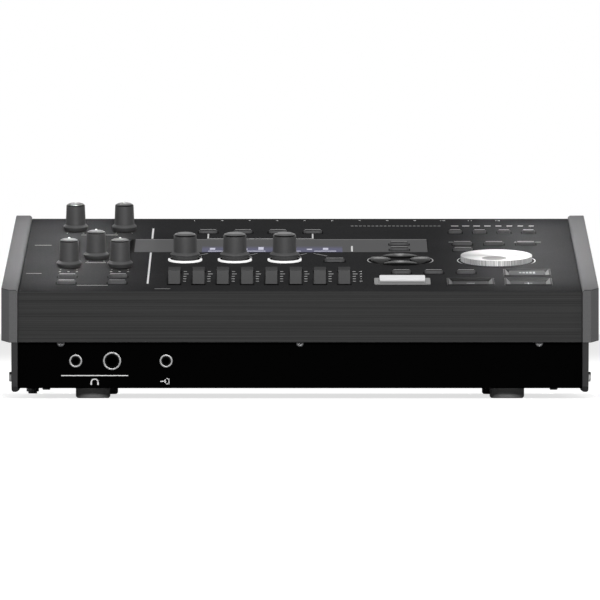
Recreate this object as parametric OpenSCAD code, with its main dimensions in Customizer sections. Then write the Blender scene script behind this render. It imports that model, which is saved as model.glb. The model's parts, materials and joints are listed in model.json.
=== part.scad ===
// Electronic drum module: a sloped control panel between two cheeks, on a black lower chassis.
// +X is the user's right, +Y the back and +Z up. The origin is on the ground under the middle.
// A control is placed by x across the panel, t back from the front fold and w out of the panel.

/* [Casing] */
// Width over the two cheeks
body_w = 345; // [338:1:360]
// Depth over the two cheeks
body_d = 270; // [270:1:285]
// Height of the panel's front fold above the ground
fold_z = 61.9; // [59:0.1:70]
// Slope of the panel in degrees
slope = 9.74; // [8.5:0.01:11]
// Bottom edge of the front apron above the ground
apron_z = 32.4; // [31.5:0.1:34]
// Set-back of the apron behind the cheek fronts
apron_setback = 3; // [2:0.5:5]
// Distance of the panel's rear edge in front of the cheek backs
panel_rear_in = 9; // [8:0.5:12]
// Depth of the lip that is folded down at the panel's rear
rear_lip_h = 14; // [12:0.5:18]
// Thickness of the panel sheet
panel_t = 1.6; // [1.4:0.1:2]
// Thickness of the chassis sheet
chassis_t = 1.5; // [1.2:0.1:2]
// Set-back of the chassis front wall behind the apron's face
front_wall_in = 4.5; // [4:0.5:6]
// Top of the chassis front wall above the ground
front_wall_top = 38; // [37:0.5:42]
// Gap between casing pieces
fit_gap = 0.2; // [0.1:0.05:0.3]

/* [Cheeks] */
// Thickness of the cheek's upper band
cheek_t = 9.6; // [8:0.2:11]
// Rise of the band above the panel
cheek_rise = 1.2; // [0.8:0.1:2]
// Height of the band at the front
band_h = 30.4; // [28:0.2:33]
// Thickness of the skirt under the band
skirt_t = 4.1; // [3.6:0.1:5]
// Narrowing of the skirt towards its bottom
skirt_taper = 0.6; // [0.2:0.1:1]
// Bottom of the skirt above the ground
skirt_z = 3.8; // [3:0.1:4.4]
// Chamfer of the front corner, across
corner_x = 4.6; // [3:0.1:5]
// Chamfer of the front corner, along the side
corner_y = 6.8; // [5:0.1:8]
// Chamfer of the rear top corner
rear_corner = 4; // [3:0.5:6]

/* [Feet and screws] */
// Foot radius
foot_r = 10; // [8:0.5:12]
// Foot height, which is also the ground clearance
foot_h = 5.9; // [5.2:0.1:7]
// Foot distance from the middle, across
foot_x = 120; // [100:1:135]
// Front feet behind the cheek fronts
foot_front = 30; // [26:1:40]
// Rear feet in front of the cheek backs
foot_rear = 32; // [28:1:40]
// Screw shank radius
screw_r = 1.5; // [1.25:0.05:1.7]
// Screw head radius of the case screws
head_r = 2.85; // [2.4:0.05:3]
// Screw head radius of the small black screws
small_head_r = 2.3; // [2:0.05:2.5]
// Screw head height
head_h = 2.4; // [1.6:0.1:2.6]
// Clearance of a screw in its hole
screw_gap = 0.1; // [0.05:0.05:0.2]
// Spacing of the stand-plate holes, across
plate_x = 100; // [80:1:120]
// Spacing of the stand-plate holes, front to back
plate_y = 70; // [60:1:90]
// Radius of the stand-plate holes
plate_r = 2.1; // [1.6:0.1:2.6]

/* [Knobs and dial] */
// Knob skirt radius
knob_skirt_r = 7.5; // [7.2:0.1:8]
// Knob body radius at its top
knob_r = 5.55; // [5:0.05:5.9]
// Knob height above the panel
knob_h = 16.8; // [15:0.1:18]
// Encoder knob skirt radius
encoder_skirt_r = 8.7; // [8.4:0.1:9]
// Encoder knob body radius
encoder_r = 6.8; // [6.2:0.1:7.2]
// Encoder knob height above the panel
encoder_h = 16.5; // [15:0.1:18]
// Light ring outer radius
ring_r = 10.05; // [9.8:0.05:11]
// Light ring wall
ring_wall = 1.25; // [1:0.05:1.4]
// Light ring height
ring_h = 1.2; // [0.8:0.1:1.4]
// Shaft radius of every knob
shaft_r = 3; // [2.5:0.1:3.2]
// Radial clearance of a shaft in its bush
shaft_gap = 0.06; // [0.03:0.01:0.1]
// Dial radius
dial_r = 21; // [19:0.5:21.5]
// Dial top above the panel
dial_h = 3.3; // [3:0.1:4.5]
// Finger dimple radius
dimple_r = 7.5; // [6:0.5:8]
// Finger dimple depth
dimple_depth = 1.3; // [0.8:0.1:1.6]
// Gap under a knob
knob_lift = 0.4; // [0.3:0.1:0.8]
// Gap under the dial
dial_lift = 0.15; // [0.1:0.05:0.4]

/* [Faders] */
// Pitch of the faders
fader_pitch = 14.1; // [13.6:0.1:15]
// Fader cap width
cap_w = 6.8; // [6:0.1:7.4]
// Fader cap length
cap_l = 13.6; // [12:0.1:15]
// Fader cap height above the panel
cap_h = 7.5; // [6:0.1:9]
// Fader travel along the panel
fader_travel = 33; // [28:1:34]
// Width of the fader slots
slot_w = 8; // [7.8:0.1:8.6]
// Slot length in front of a cap at rest
slot_front = 1.7; // [1:0.1:3]
// Slot length behind a cap at the end of its travel
slot_rear = 5; // [2:0.5:6]

/* [Keys] */
// Depth of the small keys
pill_d = 6; // [5:0.1:7]
// Height of the small keys above the panel
pill_h = 1.5; // [1:0.1:2]
// Travel of every key
key_travel = 0.5; // [0.3:0.1:0.8]
// Gap around a key in its hole
key_gap = 0.25; // [0.15:0.05:0.35]
// Catch of the flange under the panel, all round
flange_lap = 0.9; // [0.7:0.1:1]
// Thickness of the flange
flange_t = 1; // [0.8:0.1:1.4]
// Gap between the flange and what stops it
stop_gap = 0.25; // [0.15:0.05:0.4]
// Key stem radius
stem_r = 1.5; // [1.2:0.1:1.7]
// Radius of the cursor cluster
cursor_r = 17.8; // [17:0.1:18.4]
// Height of the cursor keys at their middle
cursor_h = 1.5; // [1:0.1:2]

/* [Display] */
// Width of the window
window_w = 176.7; // [172:0.1:178]
// Depth of the window along the panel
window_d = 46.8; // [44:0.1:48]
// Thickness of the window's flange under the panel
window_flange = 1.2; // [1:0.1:1.6]

/* [Inside] */
// Space between the panel and its circuit board
board_drop = 11; // [10:0.5:13]
// Thickness of both circuit boards
board_t = 1.6; // [1.2:0.1:2]
// Height of the main board above the chassis floor
standoff_h = 7; // [6:0.5:9]

/* [Sockets] */
// Radius of a phone plug's bore
phone_r = 3.2; // [3.18:0.01:3.3]
// Radius of a mini plug's bore
mini_r = 1.8; // [1.76:0.01:1.9]
// Reach of a socket's threaded neck in front of its wall
neck_out = 2.2; // [1.8:0.1:2.6]
// Depth of a socket's body behind its wall
socket_d = 22; // [20:0.5:25]
// Pitch of the rear sockets
rear_pitch = 16.7; // [16:0.1:18]
// Height of the upper row of rear sockets
rear_row_2 = 72; // [68:1:74]
// Height of the lower row of rear sockets
rear_row_1 = 38; // [34:1:44]
// Height of the front sockets
front_row = 21.6; // [20:0.1:23]

/* [Hidden] */
$fn = 72;
fader_n = 8;
STATIC = ["top_panel", "lower_chassis", "left_cheek", "right_cheek", "display_window", "display_module",
          "circuit_boards", "control_bodies", "bezel_frames", "sockets", "feet", "fasteners"];
KNOBS = ["knob_rear_left", "knob_rear_right", "knob_centre", "knob_front_left", "knob_front_right"];
CURSORS = ["cursor_right", "cursor_up", "cursor_left", "cursor_down"];
BIG_KEYS = ["enter_key", "minus_key", "plus_key", "preview_key"];
function numbered(name, n) = [for (i = [1:n]) str(name, "_", i)];
PILL_ROWS = [["function_key", 4], ["page_key", 2], ["edit_key", 3], ["menu_key", 4], ["kit_key", 4],
             ["track_key", 4]];

// Casing planes
front_y = -body_d / 2;
back_y = body_d / 2;
fold_y = front_y + apron_setback;
rear_y = back_y - panel_rear_in;
panel_w = body_w - 2 * cheek_t - 2 * fit_gap;
front_wall_y = fold_y + front_wall_in;
rear_wall_y = rear_y - panel_t - fit_gap;
floor_top = foot_h + chassis_t;
function panel_z(y) = fold_z + (y - fold_y) * tan(slope);
function under_z(y) = panel_z(y) - panel_t / cos(slope);

// Places across the panel are those of a panel of this width, and follow the real width
drawn_panel_w = 325.4;
kx = panel_w / drawn_panel_w;
function spread(place) = [for (i = [0:len(place) - 1]) i == 0 ? kx * place[i] : place[i]];
function row(x, pitch, t, w, n) = [for (i = [0:n - 1]) spread([x + pitch * i, t, w])];

// Places of the controls on the panel: x across, t back from the fold
knob_spots = [[-135, 213], [-105.7, 213], [-120.3, 112.2], [-135.4, 82.5], [-105.5, 82.5]];
knob_places = [for (spot = knob_spots) spread(spot)];
encoder_x = -67.7;
encoder_pitch = 29.3;
encoder_t = 106;
encoder_places = [for (i = [0:2]) spread([encoder_x + encoder_pitch * i, encoder_t])];
dial_place = spread([115.7, 105.5]);
cursor_place = spread([59.1, 106.6]);
fader_x = -73;
fader_t = 33.5;
fader_places = [for (i = [0:fader_n - 1]) spread([fader_x + fader_pitch * i, fader_t])];
window_place = spread([-12.65, 159.6]);

// Small keys: x of the first, pitch, t and width of each row
function_x = -55.2;
function_pitch = 20.95;
function_t = 207;
function_w = 10.8;
page_x = 59;
page_t = [164, 144.5];
page_w = 11;
edit_x = 59.3;
edit_pitch = 18.9;
edit_t = 63.2;
edit_w = 10.6;
menu_x = 93.3;
menu_pitch = 14.7;
menu_t = 206.5;
menu_w = 7.5;
kit_x = 96.8;
kit_pitch = 18.9;
kit_t = [163.7, 142.3];
kit_w = 11.2;
track_x = [-135.6, -106.1];
track_t = [49.3, 27.9];
track_w = 10.5;
exit_spot = [20.4, 104.2, 11.5];
function_keys = row(function_x, function_pitch, function_t, function_w, 4);
page_keys = [for (t = page_t) spread([page_x, t, page_w])];
edit_keys = row(edit_x, edit_pitch, edit_t, edit_w, 3);
menu_keys = row(menu_x, menu_pitch, menu_t, menu_w, 4);
kit_keys = concat(row(kit_x, kit_pitch, kit_t[0], kit_w, 3), [spread([kit_x, kit_t[1], kit_w])]);
track_keys = [for (x = track_x, t = track_t) spread([x, t, track_w])];
exit_keys = [spread(exit_spot)];
panel_keys = concat(function_keys, edit_keys, menu_keys, kit_keys, track_keys, exit_keys);
small_keys = concat(panel_keys, page_keys);

// Large keys: x, t, width and depth
enter_place = spread([59.4, 31.3, 26.5, 16.6]);
minus_place = spread([99.1, 31.8, 20.5, 15]);
plus_place = spread([132.6, 31.8, 20.5, 15]);
preview_place = spread([132.7, 63, 21, 15]);
tray_places = [minus_place, plus_place, preview_place];
big_places = concat([enter_place], tray_places);
enter_h = 2.8;
tray_heights = [-0.8, -0.8, 0.1];
big_corner = 1;
enter_frame = [32.6, 19.8, 0.8];
tray_size = [27.5, 22.6];
tray_rim = 1;
tray_lip = 0.5;
tray_floor = 1.2;

// Depths under the panel's surface at which a key's flange is caught
tray_under = panel_t + window_flange;

// Inside the panel
board_w = -(panel_t + board_drop);
bush_r = shaft_r + 1.5;
shaft_floor = 3;
shaft_depth = panel_t + board_drop - shaft_floor;
shaft_play = 0.4;
knob_roof = 2;
knob_taper = 0.8;
knob_ledge = 0.3;
crown_bow = 0.4;
dial_pocket = 1.1;
dial_play = 0.2;
switch_size = 6;
switch_h = 5;
well_depth = 1;
key_lap = 0.2;
switch_w = board_w + switch_h;
lever_w = 1.2;
lever_l = 4;
lever_gap = 0.3;
cap_dip = 0.8;
slide_depth = 7;
module_size = [112, 40];
module_place = spread([-16, 159.6]);

// Cursor keys: arcs that bound the lens shapes, and the wedge of the side keys
lens_r = 10.8;
lens_out = 17.4;
wedge_tip = 5.5;
wedge_angle = 52;
cursor_mid = 13;
dome_r = 60;
dome_fn = 240;
stem_turns = [0, 90, 180, 270];

// Sockets: x of each, and sizes of the threaded necks and ring nuts
phone_front_x = kx * -108.5;
mini_front_x = kx * [-129.5, -77.3];
phone_neck_r = 4.1;
mini_neck_r = 2.65;
nut_wall = 1.1;
nut_gap = 0.05;
nut_t = 1.6;
neck_gap = 0.15;
socket_back = 2;
phone_body = [13.4, 14];
mini_body = [9, 9];
rear_x = -64;
upper_x = [for (i = [0:11]) kx * (rear_x + rear_pitch * i)];
lower_x = [for (i = [0:5]) upper_x[i]];
din_x = kx * [54, 80];
din_r = 8.6;
din_depth = 14;
usb_x = kx * -88;
usb_size = [12, 11];
usb_hole = [8.4, 7.8];
usb_depth = 16;
usb_back = 3;
inlet_x = kx * -112;
inlet_r = 5;
inlet_hole_r = 3.1;
inlet_pin_r = 1;
rocker_x = kx * -138;
rocker_tilt = 10;
rocker_w = 10;
rocker_half = 7.4;
rocker_wall = 1.4;
rocker_gap = 0.35;
rocker_rim = 1.9;
rocker_depth = 15;
rocker_pin_r = 1.2;
rocker_pin_l = 0.9;
rocker_y = rear_wall_y - 1.5;
rocker_swing = 0.8;

// Chamfer of a cheek's inner top edge, less than its rise above the panel
inner_edge = 0.9 * cheek_rise;

// Screw places
lip_screw_x = kx * [-138.1, 0, 138.1];
lip_screw_z = 32;
tab_w = 14;
tab_bottom = 27.5;
rear_screw_x = kx * [-150, -60, 60, 150];
rear_screw_z = panel_z(rear_y) - rear_lip_h / 2 - 1;
side_screw_in = [35, 45];
side_screw_y = [front_y + side_screw_in[0], back_y - side_screw_in[1]];
side_screw_z = 12.3;
bottom_screw_x = kx * 148;
bottom_screw_in = 60;
bottom_screw_y = [front_y + bottom_screw_in, back_y - bottom_screw_in];
earth_in = 95;
earth_place = [kx * -157.1, front_y + earth_in];
foot_y = [front_y + foot_front, back_y - foot_rear];
standoff_x = kx * [-118, 118];
standoff_y = [-80, 70];
board_size = [kx * 270, 176];
board_margin = 5.2;
panel_board_t = [14, 236];
panel_board_w = panel_w - 2 * (chassis_t + board_margin);
screw_l = 6;
boss_r = 3.2;
plate_boss_h = 5;
plate_boss_r = 5;

PANEL = [0.2, 0.2, 0.21];
CHEEK = [0.33, 0.33, 0.34];
BLACK = [0.03, 0.03, 0.03];
KNOB = [0.18, 0.18, 0.19];
KEY = [0.3, 0.3, 0.31];
METAL = [0.7, 0.7, 0.72];
WHITE = [0.93, 0.93, 0.95];
BOARD = [0.05, 0.3, 0.16];
GLASS = [0.3, 0.31, 0.34];
GREY = [0.55, 0.55, 0.56];

// Places its children on the panel's surface
module on_panel(place, w = 0) {
    y = fold_y + place[1];
    translate([place[0], y, panel_z(y)])
        rotate([slope, 0, 0])
            translate([0, 0, w])
                children();
}

// Extrudes a y-z outline across the body, from x to x + length
module across(x, length) {
    translate([x, 0, 0])
        rotate([90, 0, 90])
            linear_extrude(length)
                children();
}

module rounded(w, d, r) {
    square([w - 2 * r, d], center = true);
    if (d > 2 * r) square([w, d - 2 * r], center = true);
    for (x = [-1, 1], y = d > 2 * r ? [-1, 1] : [0])
        translate([x * (w / 2 - r), y * (d / 2 - r)])
            circle(r);
}

// Cuts a straight hole through the sheet at a place on the panel
module panel_cut(place, depth = panel_t) {
    on_panel(place, -depth - 1)
        linear_extrude(depth + 2)
            children();
}

// Casing

module panel_profile() {
    inner_y = fold_y + panel_t;
    lip_y = rear_y - panel_t;
    lip_z = panel_z(rear_y) - rear_lip_h;
    polygon([[fold_y, apron_z], [fold_y, fold_z], [rear_y, panel_z(rear_y)], [rear_y, lip_z], [lip_y, lip_z],
             [lip_y, under_z(lip_y)], [inner_y, under_z(inner_y)], [inner_y, apron_z]]);
}

// A tab of the apron that reaches over the chassis front wall and down behind it
module front_tab(x) {
    lap = 0.2;
    inner_y = fold_y + panel_t - lap;
    back = front_wall_y + chassis_t + panel_t;
    top = front_wall_top + fit_gap;
    translate([x - tab_w / 2, inner_y, top]) cube([tab_w, back - inner_y, panel_t]);
    translate([x - tab_w / 2, back - panel_t, tab_bottom]) cube([tab_w, panel_t, top + panel_t - tab_bottom]);
}

module cursor_outlines(grow = 0) {
    for (i = [0:3]) cursor_outline(i, grow);
}

module top_panel() color(PANEL) difference() {
    union() {
        across(-panel_w / 2, panel_w) panel_profile();
        for (x = lip_screw_x) front_tab(x);
    }
    for (place = concat(knob_places, encoder_places, [dial_place]))
        panel_cut(place) circle(bush_r + screw_gap);
    for (key = panel_keys)
        panel_cut(key) rounded(key[2] + 2 * key_gap, pill_d + 2 * key_gap, pill_d / 2 + key_gap);
    panel_cut(enter_place)
        rounded(enter_place[2] + 2 * key_gap, enter_place[3] + 2 * key_gap, big_corner + key_gap);
    for (place = tray_places) panel_cut(place) square(tray_size + [2, 2] * fit_gap, center = true);
    panel_cut(window_place) square([window_w, window_d] + [2, 2] * fit_gap, center = true);
    panel_cut(cursor_place) cursor_outlines(key_gap);
    for (place = fader_places) panel_cut(place) fader_slot();
    for (x = lip_screw_x) translate([x, front_wall_y, lip_screw_z]) screw_hole(-90);
    for (x = rear_screw_x) translate([x, rear_y, rear_screw_z]) screw_hole(90);
}

// A clearance hole whose screw enters along -Z before it is turned about X
module screw_hole(turn) {
    rotate([-turn, 0, 0])
        translate([0, 0, -screw_l - 1])
            cylinder(r = screw_r + screw_gap, h = screw_l + 2);
}

module fader_slot() {
    front = cap_l / 2 + slot_front;
    translate([-slot_w / 2, -front])
        square([slot_w, front + fader_travel + cap_l / 2 + slot_rear]);
}

module side_wall_profile() {
    polygon([[front_wall_y, foot_h], [rear_wall_y, foot_h], [rear_wall_y, under_z(rear_wall_y) - fit_gap],
             [front_wall_y, under_z(front_wall_y) - fit_gap]]);
}

module lower_chassis() color(BLACK) difference() {
    rear_in = rear_wall_y - chassis_t;
    union() {
        translate([-panel_w / 2, front_wall_y, foot_h])
            cube([panel_w, rear_wall_y - front_wall_y, chassis_t]);
        translate([-panel_w / 2, front_wall_y, foot_h]) cube([panel_w, chassis_t, front_wall_top - foot_h]);
        translate([-panel_w / 2, rear_in, foot_h])
            cube([panel_w, chassis_t, under_z(rear_in) - fit_gap - foot_h]);
        for (x = [-panel_w / 2, panel_w / 2 - chassis_t]) across(x, chassis_t) side_wall_profile();
        for (x = standoff_x, y = standoff_y)
            translate([x, y, foot_h]) cylinder(r = boss_r, h = chassis_t + standoff_h);
        for (x = [-1, 1], y = [-1, 1])
            translate([x * plate_x / 2, y * plate_y / 2, foot_h])
                cylinder(r = plate_boss_r, h = chassis_t + plate_boss_h);
    }
    for (x = [-1, 1], y = [-1, 1])
        translate([x * plate_x / 2, y * plate_y / 2, foot_h - 1])
            cylinder(r = plate_r, h = chassis_t + plate_boss_h + 2);
    for (x = standoff_x, y = standoff_y)
        translate([x, y, floor_top + standoff_h]) screw_hole(0);
    for (x = [-foot_x, foot_x], y = foot_y) translate([x, y, foot_h]) screw_hole(180);
    for (x = [-bottom_screw_x, bottom_screw_x], y = bottom_screw_y)
        translate([x, y, foot_h]) screw_hole(180);
    translate([earth_place[0], earth_place[1], foot_h]) screw_hole(180);
    for (x = lip_screw_x) translate([x, front_wall_y, lip_screw_z]) screw_hole(-90);
    for (x = rear_screw_x) translate([x, rear_y, rear_screw_z]) screw_hole(90);
    for (side = [-1, 1], y = side_screw_y) side_screw_hole(side, y);
    translate([phone_front_x, front_wall_y, front_row]) neck_hole(phone_neck_r);
    for (x = mini_front_x) translate([x, front_wall_y, front_row]) neck_hole(mini_neck_r);
    for (x = upper_x) translate([x, rear_wall_y, rear_row_2]) neck_hole(phone_neck_r);
    for (x = lower_x) translate([x, rear_wall_y, rear_row_1]) neck_hole(phone_neck_r);
    for (x = din_x) translate([x, rear_wall_y, rear_row_1]) neck_hole(din_r);
    translate([inlet_x, rear_wall_y, rear_row_1]) neck_hole(inlet_r);
    wall_window(usb_x, rear_row_1, usb_size);
    wall_window(rocker_x, rear_row_1, rocker_case());
}

module neck_hole(r) {
    rotate([90, 0, 0])
        translate([0, 0, -chassis_t - 1])
            cylinder(r = r + neck_gap, h = 2 * chassis_t + 2);
}

// Cuts a rectangle in the rear wall
module wall_window(x, z, size) {
    translate([x, rear_wall_y, z])
        cube([size[0] + 2 * neck_gap, 3 * chassis_t, size[1] + 2 * neck_gap], center = true);
}

module side_screw_hole(side, y) {
    translate([side * (panel_w / 2 - chassis_t - 1), y, side_screw_z])
        rotate([0, side * 90, 0])
            cylinder(r = screw_r + screw_gap, h = chassis_t + skirt_t + 4);
}

module band_profile() {
    top = panel_z(front_y) + cheek_rise;
    function top_z(y) = top + (y - front_y) * tan(slope);
    polygon([[front_y, top - band_h], [front_y, top], [back_y - rear_corner, top_z(back_y - rear_corner)],
             [back_y, top_z(back_y - rear_corner) - rear_corner], [back_y, top_z(back_y) - band_h]]);
}

module skirt_profile() {
    front_in = 1;
    rear_in = 2;
    start = front_y + front_in;
    end = back_y - rear_in;
    cut = 3;
    toe = 22;
    ramp = 40;
    arch_z = foot_h + 0.3;
    join = panel_z(front_y) + cheek_rise - band_h + 1;
    polygon([[start, skirt_z + cut], [start + cut, skirt_z], [start + toe, skirt_z],
             [start + toe + ramp, arch_z], [end - toe - ramp, arch_z],
             [end - toe, skirt_z], [end - cut, skirt_z], [end, skirt_z + cut],
             [end, join + (end - front_y) * tan(slope)], [start, join]]);
}

// Outline of the skirt seen from the front, from the cheek's inner face outwards
module skirt_section() {
    edge = 0.8;
    top = panel_z(back_y);
    low = skirt_t - skirt_taper;
    polygon([[0, skirt_z + edge], [edge, skirt_z], [low - edge, skirt_z], [low, skirt_z + edge],
             [skirt_t, top], [0, top]]);
}

module cheek(side) color(CHEEK) {
    inner_x = body_w / 2 - cheek_t;
    mirror([side < 0 ? 1 : 0, 0, 0]) difference() {
        union() {
            across(inner_x, cheek_t) band_profile();
            intersection() {
                across(inner_x, skirt_t + 1) skirt_profile();
                translate([inner_x, back_y, 0])
                    rotate([90, 0, 0])
                        linear_extrude(body_d)
                            skirt_section();
            }
        }
        translate([body_w / 2, front_y, 0])
            linear_extrude(panel_z(back_y) + cheek_rise + 1)
                polygon([[1, -1], [-corner_x - 1, -1], [-corner_x, 0], [0, corner_y], [1, corner_y]]);
        translate([inner_x, front_y, panel_z(front_y) + cheek_rise])
            rotate([slope - 90, 0, 0])
                translate([0, 0, -1])
                    linear_extrude(body_d / cos(slope) + 2)
                        polygon([[-1, -1], [inner_edge + 1, -1], [-1, inner_edge + 1]]);
        for (y = side_screw_y) side_screw_hole(1, y);
    }
}

module left_cheek() cheek(-1);

module right_cheek() cheek(1);

module feet() color(BLACK) {
    dish = 4.5;
    for (x = [-foot_x, foot_x], y = foot_y)
        translate([x, y, 0]) difference() {
            rotate_extrude()
                polygon([[0, 0], [foot_r - 1, 0], [foot_r, 1], [foot_r, foot_h], [0, foot_h]]);
            translate([0, 0, -1]) cylinder(r = dish, h = foot_h / 2 + 1);
            translate([0, 0, -1]) cylinder(r = screw_r + screw_gap, h = foot_h + 2);
        }
}

// Screw with its head's seat at z = 0 and its shank down -Z
module screw(radius = head_r, height = head_h, length = screw_l) {
    slot = 0.8;
    difference() {
        union() {
            rotate_extrude()
                polygon([[0, 0], [radius, 0], [radius, height * 0.8], [radius * 0.9, height], [0, height]]);
            translate([0, 0, -length]) cylinder(r = screw_r, h = length + 0.1);
        }
        for (turn = [0, 90])
            rotate([0, 0, turn])
                translate([0, 0, height])
                    cube([radius, slot, height], center = true);
    }
}

// Knurled thumb screw of the earth terminal, with its seat at z = 0 and its head upwards
module earth_screw() {
    collar_r = 3.7;
    neck_h = 0.8;
    collar_h = 2;
    tip_h = 1.2;
    difference() {
        union() {
            cylinder(r = screw_r * 2, h = neck_h);
            translate([0, 0, neck_h]) cylinder(r = collar_r, h = collar_h);
            translate([0, 0, neck_h + collar_h]) cylinder(r = collar_r - 1.1, h = tip_h);
            translate([0, 0, -screw_l + 2]) cylinder(r = screw_r, h = screw_l);
        }
        for (turn = [0:30:330])
            rotate([0, 0, turn])
                translate([collar_r, 0, neck_h - 1])
                    cylinder(r = 0.4, h = collar_h + 2);
    }
}

module ring_nut(neck_r) {
    inner = neck_r + nut_gap;
    difference() {
        cylinder(r = inner + nut_wall, h = nut_t);
        translate([0, 0, -1]) cylinder(r = inner, h = nut_t + 2);
    }
}

module fasteners() color(METAL) {
    skirt_x = body_w / 2 - cheek_t + skirt_t;
    taper = skirt_taper * (panel_z(back_y) - side_screw_z) / (panel_z(back_y) - skirt_z);
    seat = 0.05;
    for (x = lip_screw_x)
        translate([x, front_wall_y, lip_screw_z]) rotate([90, 0, 0]) screw(small_head_r, head_h * 0.6);
    for (x = rear_screw_x) translate([x, rear_y, rear_screw_z]) rotate([-90, 0, 0]) screw(small_head_r);
    for (side = [-1, 1], y = side_screw_y)
        translate([side * (skirt_x - taper + seat), y, side_screw_z])
            rotate([0, side * 90, 0])
                screw(length = skirt_t + chassis_t + 1);
    for (x = [-foot_x, foot_x], y = foot_y)
        translate([x, y, foot_h / 2]) rotate([180, 0, 0]) screw(length = foot_h / 2 + chassis_t + 1);
    for (x = [-bottom_screw_x, bottom_screw_x], y = bottom_screw_y)
        translate([x, y, foot_h]) rotate([180, 0, 0]) screw(small_head_r, head_h * 0.6, chassis_t + 1.5);
    for (x = standoff_x, y = standoff_y)
        translate([x, y, floor_top + standoff_h + board_t]) screw();
    translate([earth_place[0], earth_place[1], foot_h]) rotate([180, 0, 0]) earth_screw();
    translate([phone_front_x, front_wall_y, front_row]) rotate([90, 0, 0]) ring_nut(phone_neck_r);
    for (x = mini_front_x) translate([x, front_wall_y, front_row]) rotate([90, 0, 0]) ring_nut(mini_neck_r);
    for (x = upper_x) translate([x, rear_wall_y, rear_row_2]) rotate([-90, 0, 0]) ring_nut(phone_neck_r);
    for (x = lower_x) translate([x, rear_wall_y, rear_row_1]) rotate([-90, 0, 0]) ring_nut(phone_neck_r);
}

// Display

module display_window() color(GLASS) difference() {
    lap = 2;
    on_panel(window_place, -panel_t - window_flange) {
        linear_extrude(window_flange) square([window_w, window_d] + [2, 2] * lap, center = true);
        linear_extrude(panel_t + window_flange) square([window_w, window_d], center = true);
    }
    for (key = page_keys)
        panel_cut(key, panel_t + window_flange)
            rounded(key[2] + 2 * key_gap, pill_d + 2 * key_gap, pill_d / 2 + key_gap);
}

module display_module() color(GREY)
    on_panel(module_place, board_w)
        linear_extrude(board_drop - window_flange)
            square(module_size, center = true);

// Inside

module circuit_boards() color(BOARD) {
    depth = (panel_board_t[1] - panel_board_t[0]) / cos(slope);
    on_panel([0, panel_board_t[0]], board_w - board_t)
        translate([-panel_board_w / 2, 0, 0])
            cube([panel_board_w, depth, board_t]);
    difference() {
        translate([-board_size[0] / 2, -board_size[1] / 2 - 5, floor_top + standoff_h])
            cube([board_size[0], board_size[1], board_t]);
        for (x = standoff_x, y = standoff_y)
            translate([x, y, floor_top + standoff_h + board_t]) screw_hole(0);
    }
}

// Body and bush of a potentiometer or encoder
module turn_body(size = 12) {
    difference() {
        union() {
            translate([-size / 2, -size / 2, board_w]) cube([size, size, board_drop]);
            translate([0, 0, board_w]) cylinder(r = bush_r, h = -board_w);
        }
        translate([0, 0, -shaft_depth]) cylinder(r = shaft_r + shaft_gap, h = shaft_depth + 1);
    }
}

module fader_body() {
    length = fader_travel + cap_l + slot_rear;
    run = fader_travel + lever_l + 2 * lever_gap;
    difference() {
        translate([-slot_w / 2 - 1, -cap_l / 2 - slot_front, board_w])
            cube([slot_w + 2, length + slot_front, board_drop]);
        translate([-lever_w / 2 - lever_gap, -lever_l / 2 - lever_gap, -panel_t - slide_depth])
            cube([lever_w + 2 * lever_gap, run, slide_depth + 1]);
    }
}

// Push switch on the panel's board, with a well that the key's stem dips into
module key_switch() {
    depth = well_depth + key_travel + stop_gap;
    difference() {
        translate([-switch_size / 2, -switch_size / 2, board_w]) cube([switch_size, switch_size, switch_h]);
        translate([0, 0, switch_w - depth]) cylinder(r = stem_r + lever_gap, h = depth + 1);
    }
}

module control_bodies() color(GREY) {
    for (place = concat(knob_places, encoder_places, [dial_place])) on_panel(place) turn_body();
    for (place = fader_places) on_panel(place) fader_body();
    for (key = concat(small_keys, big_places)) on_panel(key) key_switch();
    on_panel(cursor_place)
        for (turn = stem_turns) rotate([0, 0, turn]) translate([cursor_mid, 0, 0]) key_switch();
}

// Controls

module tray(place) {
    under = window_flange;
    opening = [place[2], place[3]] + [2, 2] * key_gap;
    mouth = tray_size - [2, 2] * tray_rim;
    low = -tray_floor;
    high = tray_lip + 0.1;
    difference() {
        union() {
            translate([0, 0, -panel_t - under])
                linear_extrude(under) square(tray_size + [2, 2] * flange_lap, center = true);
            translate([0, 0, -panel_t - under])
                linear_extrude(panel_t + under + tray_lip) square(tray_size, center = true);
        }
        translate([0, 0, -panel_t - under - 1]) linear_extrude(panel_t + under) rounded(
            opening[0], opening[1], big_corner + key_gap);
        intersection() {
            rotate([90, 0, 0])
                linear_extrude(tray_size[1], center = true)
                    slanted(opening[0] / 2, mouth[0] / 2, low, high);
            rotate([90, 0, 90])
                linear_extrude(tray_size[0], center = true)
                    slanted(opening[1] / 2, mouth[1] / 2, low, high);
        }
    }
}

module slanted(bottom, top, low, high)
    polygon([[-bottom, low], [bottom, low], [top, high], [-top, high]]);

module flat_ring(outer, wall, height) {
    difference() {
        cylinder(r = outer, h = height);
        translate([0, 0, -1]) cylinder(r = outer - wall, h = height + 2);
    }
}

module bezel_frames() {
    rim_h = 0.12;
    rim_wall = 0.5;
    dial_rim_r = dial_r + 2.1;
    cursor_rim_r = cursor_r + 1.7;
    color(WHITE) for (place = encoder_places) on_panel(place) flat_ring(ring_r, ring_wall, ring_h);
    color(METAL) on_panel(dial_place) flat_ring(dial_rim_r, rim_wall, rim_h);
    color(METAL) on_panel(cursor_place) flat_ring(cursor_rim_r, rim_wall, rim_h);
    color(GREY) on_panel(enter_place) difference() {
        linear_extrude(enter_frame[2]) rounded(enter_frame[0], enter_frame[1], big_corner);
        translate([0, 0, -1])
            linear_extrude(enter_frame[2] + 2)
                rounded(enter_place[2] + 2 * key_gap, enter_place[3] + 2 * key_gap, big_corner + key_gap);
    }
    color(GREY) for (place = tray_places) on_panel(place) tray(place);
}

module shaft(top) {
    translate([0, 0, shaft_play - shaft_depth]) cylinder(r = shaft_r, h = top + shaft_depth - shaft_play);
}

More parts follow.
